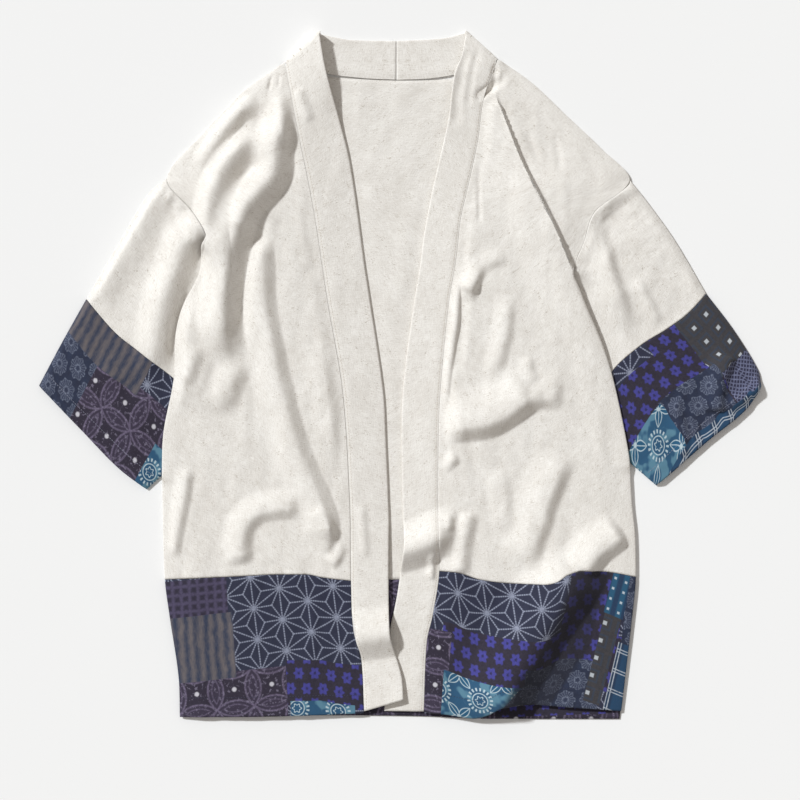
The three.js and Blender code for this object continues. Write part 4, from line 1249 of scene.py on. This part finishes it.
def back():
    """The back panel, from the neck seam to the hem band. Its waves show between the collars."""
    shares = np.linspace(0, 1, BACK_COLUMNS)
    top = look_up(NECK, mix(*NECK_ENDS, shares)) - NECK_GAP
    y = mix(top[None, :], BACK_SEAM_Y + SEAM / 2, np.linspace(0, 1, BACK_ROWS)[:, None])
    x = mix(look_up(BACK_RIGHT_EDGE, y), look_up(BACK_LEFT_EDGE, y), shares[None, :])
    from_right = x - look_up(COLLAR_EDGE_RIGHT, y)
    from_left = look_up(COLLAR_EDGE_LEFT, y) - x
    shown = smooth((from_right - 2) / 14) * smooth((from_left - 2) / 14)
    wave = np.maximum(-1, crumple(x, y * 0.6, 21)) + 1
    z = CLOTH + shown * WAVE_HEIGHT * wave
    z -= NECK_DIP * np.exp(-np.abs(top[None, :] - y) / SEAM_REACH)
    grid = np.dstack([x, y, z])
    under = np.dstack([x, y, np.maximum(0, z - THIN - 0.15)])
    piece = closed_wall("back_cloth", grid, under, cloth_uv(grid), linen)
    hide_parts("back_panel")
    return piece


def back_hem_band():
    """The printed band below the back; its inside shows between the collar's ends."""
    shares = np.linspace(0, 1, BAND_COLUMNS)
    low = look_up(BACK_HEM, shares)
    y = mix(BACK_SEAM_Y - SEAM / 2, low[None, :], np.linspace(0, 1, BAND_ROWS)[:, None])
    x = mix(look_up(OUTER_RIGHT, y) + 1, look_up(OUTER_LEFT, y) - 1, shares[None, :])
    grid = np.dstack([x, y, np.full_like(x, CLOTH)])
    under = np.dstack([x, y, np.zeros_like(x)])
    piece = closed_wall("back_hem_band_cloth", grid, under, grid[..., :2], prints["back_hem_band"])
    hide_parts("back_hem_band")
    return piece


back_cloth, back_band_cloth = back(), back_hem_band()

# %% [markdown]
# ## Sleeves and cuffs
# A sleeve is a tube pressed flat: each ring runs over the upper layer, round the underarm fold
# and back below. A tube of rings keeps both layers one piece of cloth, as they are, and leaves
# the cuff open.

# %% Sleeves and cuffs
RING_ROUND = 0.022  # share of the width over which a ring rounds at its folds
RING_COLUMNS = 70
SLEEVE_RINGS = 84
CUFF_RINGS = 60
STITCHED = slice(5, 65)  # the columns of a cuff's upper layer that show its stitches


def crowded_shares(count, curve):
    """Shares closer together at both ends, the more the greater the curve is."""
    even = np.linspace(0, 1, count)
    return (1 - np.cos(np.pi * even)) / 2 * curve + even * (1 - curve)


def tube_grid(side, first, last, upper, rings, inner_wall):
    """The outer or inner side of a flattened tube between two lines, blended from all four of
    its boundary lines (a Coons patch), with the heights of the sleeve's top. The underarm fold
    is straight between the lines' ends. Half a seam's gap is left at each line."""
    shares = crowded_shares(RING_COLUMNS, 0.75)
    down = np.linspace(0, 1, rings)[:, None]
    ends = np.array([along(first, 0.0), along(first, 1.0), along(last, 0.0), along(last, 1.0)])
    reach = (ends[2] + ends[3] - ends[0] - ends[1]) / 2
    gap = SEAM * 0.6 * (1 - 2 * down) / math.hypot(*reach)
    inset = THIN / math.hypot(*(ends[1] - ends[0])) if inner_wall else 0.0
    across = mix(inset, 1 - inset, shares)[None, :]
    fold, near, far = along(upper, down), along(first, across), along(last, across)
    x, y = [
        mix(fold[n], mix(ends[1, n], ends[3, n], down), across)
        + (1 - down) * (near[n] - mix(ends[0, n], ends[1, n], across))
        + down * (far[n] - mix(ends[2, n], ends[3, n], across)) + gap * reach[n]
        for n in (0, 1)
    ]
    edgeward = np.minimum(shares, 1 - shares)[None, :]
    rounded = np.sqrt(np.minimum(1, edgeward / RING_ROUND))
    outward = side["sign"] * (x - look_up(side["outer"], y))
    creases = 0.36 * crumple(x, y, 31 + side["sign"], lean=1.2) + 0.08 * crumple(x, y, 6, **FINE)
    top = sleeve_top(side, x, y, smooth(edgeward / 0.045))
    top += smooth((outward - 6) / 20) * smooth(edgeward / 0.06) * creases
    wall = THIN if inner_wall else 0.0
    upper_grid = np.dstack([x, y, mix(SLEEVE_FLAT / 2, top - wall, rounded)])
    lower_grid = np.dstack([x, y, mix(SLEEVE_FLAT / 2, np.full_like(x, wall), rounded)])
    return np.concatenate([upper_grid, lower_grid[:, 1:-1][:, ::-1]], axis=1)


def sleeve_piece(side, name, first, last, upper, rings, material, slot):
    """A sleeve or a cuff; the printed one is stitched down above its edge."""
    outer, inner = [tube_grid(side, first, last, upper, rings, wall) for wall in (False, True)]
    uv = cloth_uv(np.concatenate([outer, outer[:, :1]], axis=1))
    piece = closed_wall(name + "_cloth", outer, inner, uv, material, tube=True)
    if slot == "patchwork_print":
        stitches(name + "_stitches", outer[rings - 10, STITCHED], cuff_thread)
    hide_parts(name)
    return piece


sleeves, cuffs = {}, {}
for side in (RIGHT, LEFT):
    lines, word = side["sleeve"], side["word"]
    sleeves[word] = sleeve_piece(
        side, f"sleeve_{word}", armhole_line(side), lines["cuff_seam"], lines["upper_fold"], SLEEVE_RINGS,
        linen, "linen")
    cuffs[word] = sleeve_piece(
        side, f"cuff_{word}", lines["cuff_seam"], lines["cuff_edge"], lines["cuff_fold"], CUFF_RINGS,
        prints[f"cuff_{word}"], "patchwork_print")

# %% [markdown]
# ## Collar
# The collar band is cloth folded double, sewn along one edge and folded along the other. Each
# half starts at the centre back, lies flat along the neck, turns over at the side of the neck
# and runs down the front. Sections across it are carried along that route.

# %% Collar halves
NECK_SECTIONS, TURN_SECTIONS, FRONT_SECTIONS = 44, 12, 300
COLLAR_COLUMNS = 30
STITCH_COLUMN = 4


def collar_sections(side):
    """Seam point, edge point and phase of each section: -1 along the neck, 1 down the front.
    Between them the band turns round an axis beside the line of its fold."""
    sign = side["sign"]
    neck_side, corner = np.array(side["neck_side"]), np.array(side["neck_corner"])
    fold = corner - neck_side
    outward = np.array([sign * abs(fold[1]), abs(fold[0])]) / np.hypot(*fold)
    axis = [point - outward * (TURN_RADIUS + COLLAR / 2) for point in (neck_side, corner)]
    turns = np.linspace(-1, 1, TURN_SECTIONS + 2)[1:-1]
    share, down = np.linspace(0, 1, NECK_SECTIONS), np.linspace(0, 1, FRONT_SECTIONS)
    end_seam, end_edge = side["collar_end"]
    seam_y = mix(axis[0][1], end_seam, down)
    edge_y = mix(axis[1][1], end_edge, mix(down, smooth(down * 1.6), 0.12))
    down_fronts = (
        np.column_stack([look_up(side["seam"], seam_y) - sign * SEAM_GAP, seam_y]),
        np.column_stack([look_up(side["edge"], edge_y), edge_y]),
    )
    routes = []
    for line, centre_y, pivot, down_front in zip((NECK, COLLAR_TOP), CENTRE_BACK_Y, axis, down_fronts):
        half = [point for point in line if sign * (point[0] - CENTRE_BACK_X) > 0]
        half.sort(key=lambda point: sign * point[0])
        neck = [(CENTRE_BACK_X + sign * SEAM_GAP, centre_y), *half[:-1], tuple(pivot)]
        down_front[0] = pivot
        turning = np.repeat([pivot], len(turns), axis=0)
        routes.append(np.concatenate([np.column_stack(along(neck, share)), turning, down_front]))
    phase = np.concatenate([np.full(NECK_SECTIONS, -1.0), turns, np.full(FRONT_SECTIONS, 1.0)])
    return *routes, phase, outward, axis


def collar(side):
    """One half of the collar: a flat band with a round folded edge, carried over the turn."""
    seam, edge, phase, outward, axis = collar_sections(side)
    shares = crowded_shares(COLLAR_COLUMNS, 0.8)[None, :]
    across = shares * COLLAR_WIDTH
    x = mix(seam[:, :1], edge[:, :1], shares)
    y = mix(seam[:, 1:], edge[:, 1:], shares)
    on_front = (phase >= 1)[:, None]
    angle = phase[:, None] * np.pi / 2
    lean, up = np.cos(angle), np.sin(angle)
    levels = side["levels"]
    level = mix(look_up(levels, y, 1), look_up(levels, y, 2), shares)
    turn_level = mix(look_up(levels, axis[0][1], 1), look_up(levels, axis[1][1], 2), shares)
    height = COLLAR / 2 + np.where(on_front, level, turn_level * (1 + up) / 2)
    normal = np.dstack([outward[0] * lean, outward[1] * lean, up])
    centre = np.dstack([x, y, height]) + TURN_RADIUS * normal * (1, 1, 0)
    rounded = 0.25 + 0.75 * np.sqrt(np.minimum(1, (1 - shares) / 0.03))
    sewn = 0.54 + 0.46 * smooth(across / 7)
    half = (COLLAR / 2) * (rounded * sewn)[..., None]
    waves = 0.3 * crumple(x, y * 0.5, 41 + side["sign"], lean=1.0) * smooth(2 - 4 * np.abs(shares - 0.5))
    bend = on_front * (fold_height(side["collar_folds"], x, y) + np.maximum(0, waves))
    dip = on_front * look_up(side["seam_dips"], y) * np.exp(-across / SEAM_REACH)
    outer = centre + normal * half
    inner = centre - normal * half
    outer[..., 2] += bend - dip
    inner[..., 2] += np.maximum(0, bend)
    run = np.concatenate([[0], np.cumsum(np.hypot(*np.diff((seam + edge) / 2, axis=0).T))])
    uv = np.dstack(np.broadcast_arrays(across, run[:, None]))
    name = f"collar_{side['word']}"
    piece = closed_wall(name + "_cloth", outer, inner, uv, collar_linen)
    stitches(name + "_topstitch", outer[phase >= 1][:, STITCH_COLUMN], linen_thread)
    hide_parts(name)
    return piece


collars = {side["word"]: collar(side) for side in (RIGHT, LEFT)}

# %% [markdown]
# ## Floor's finish
# The floor is a plain pale paper.

# %% Floor finish
floor_mesh.materials.append(plain_material("paper", PAPER, 0.95))
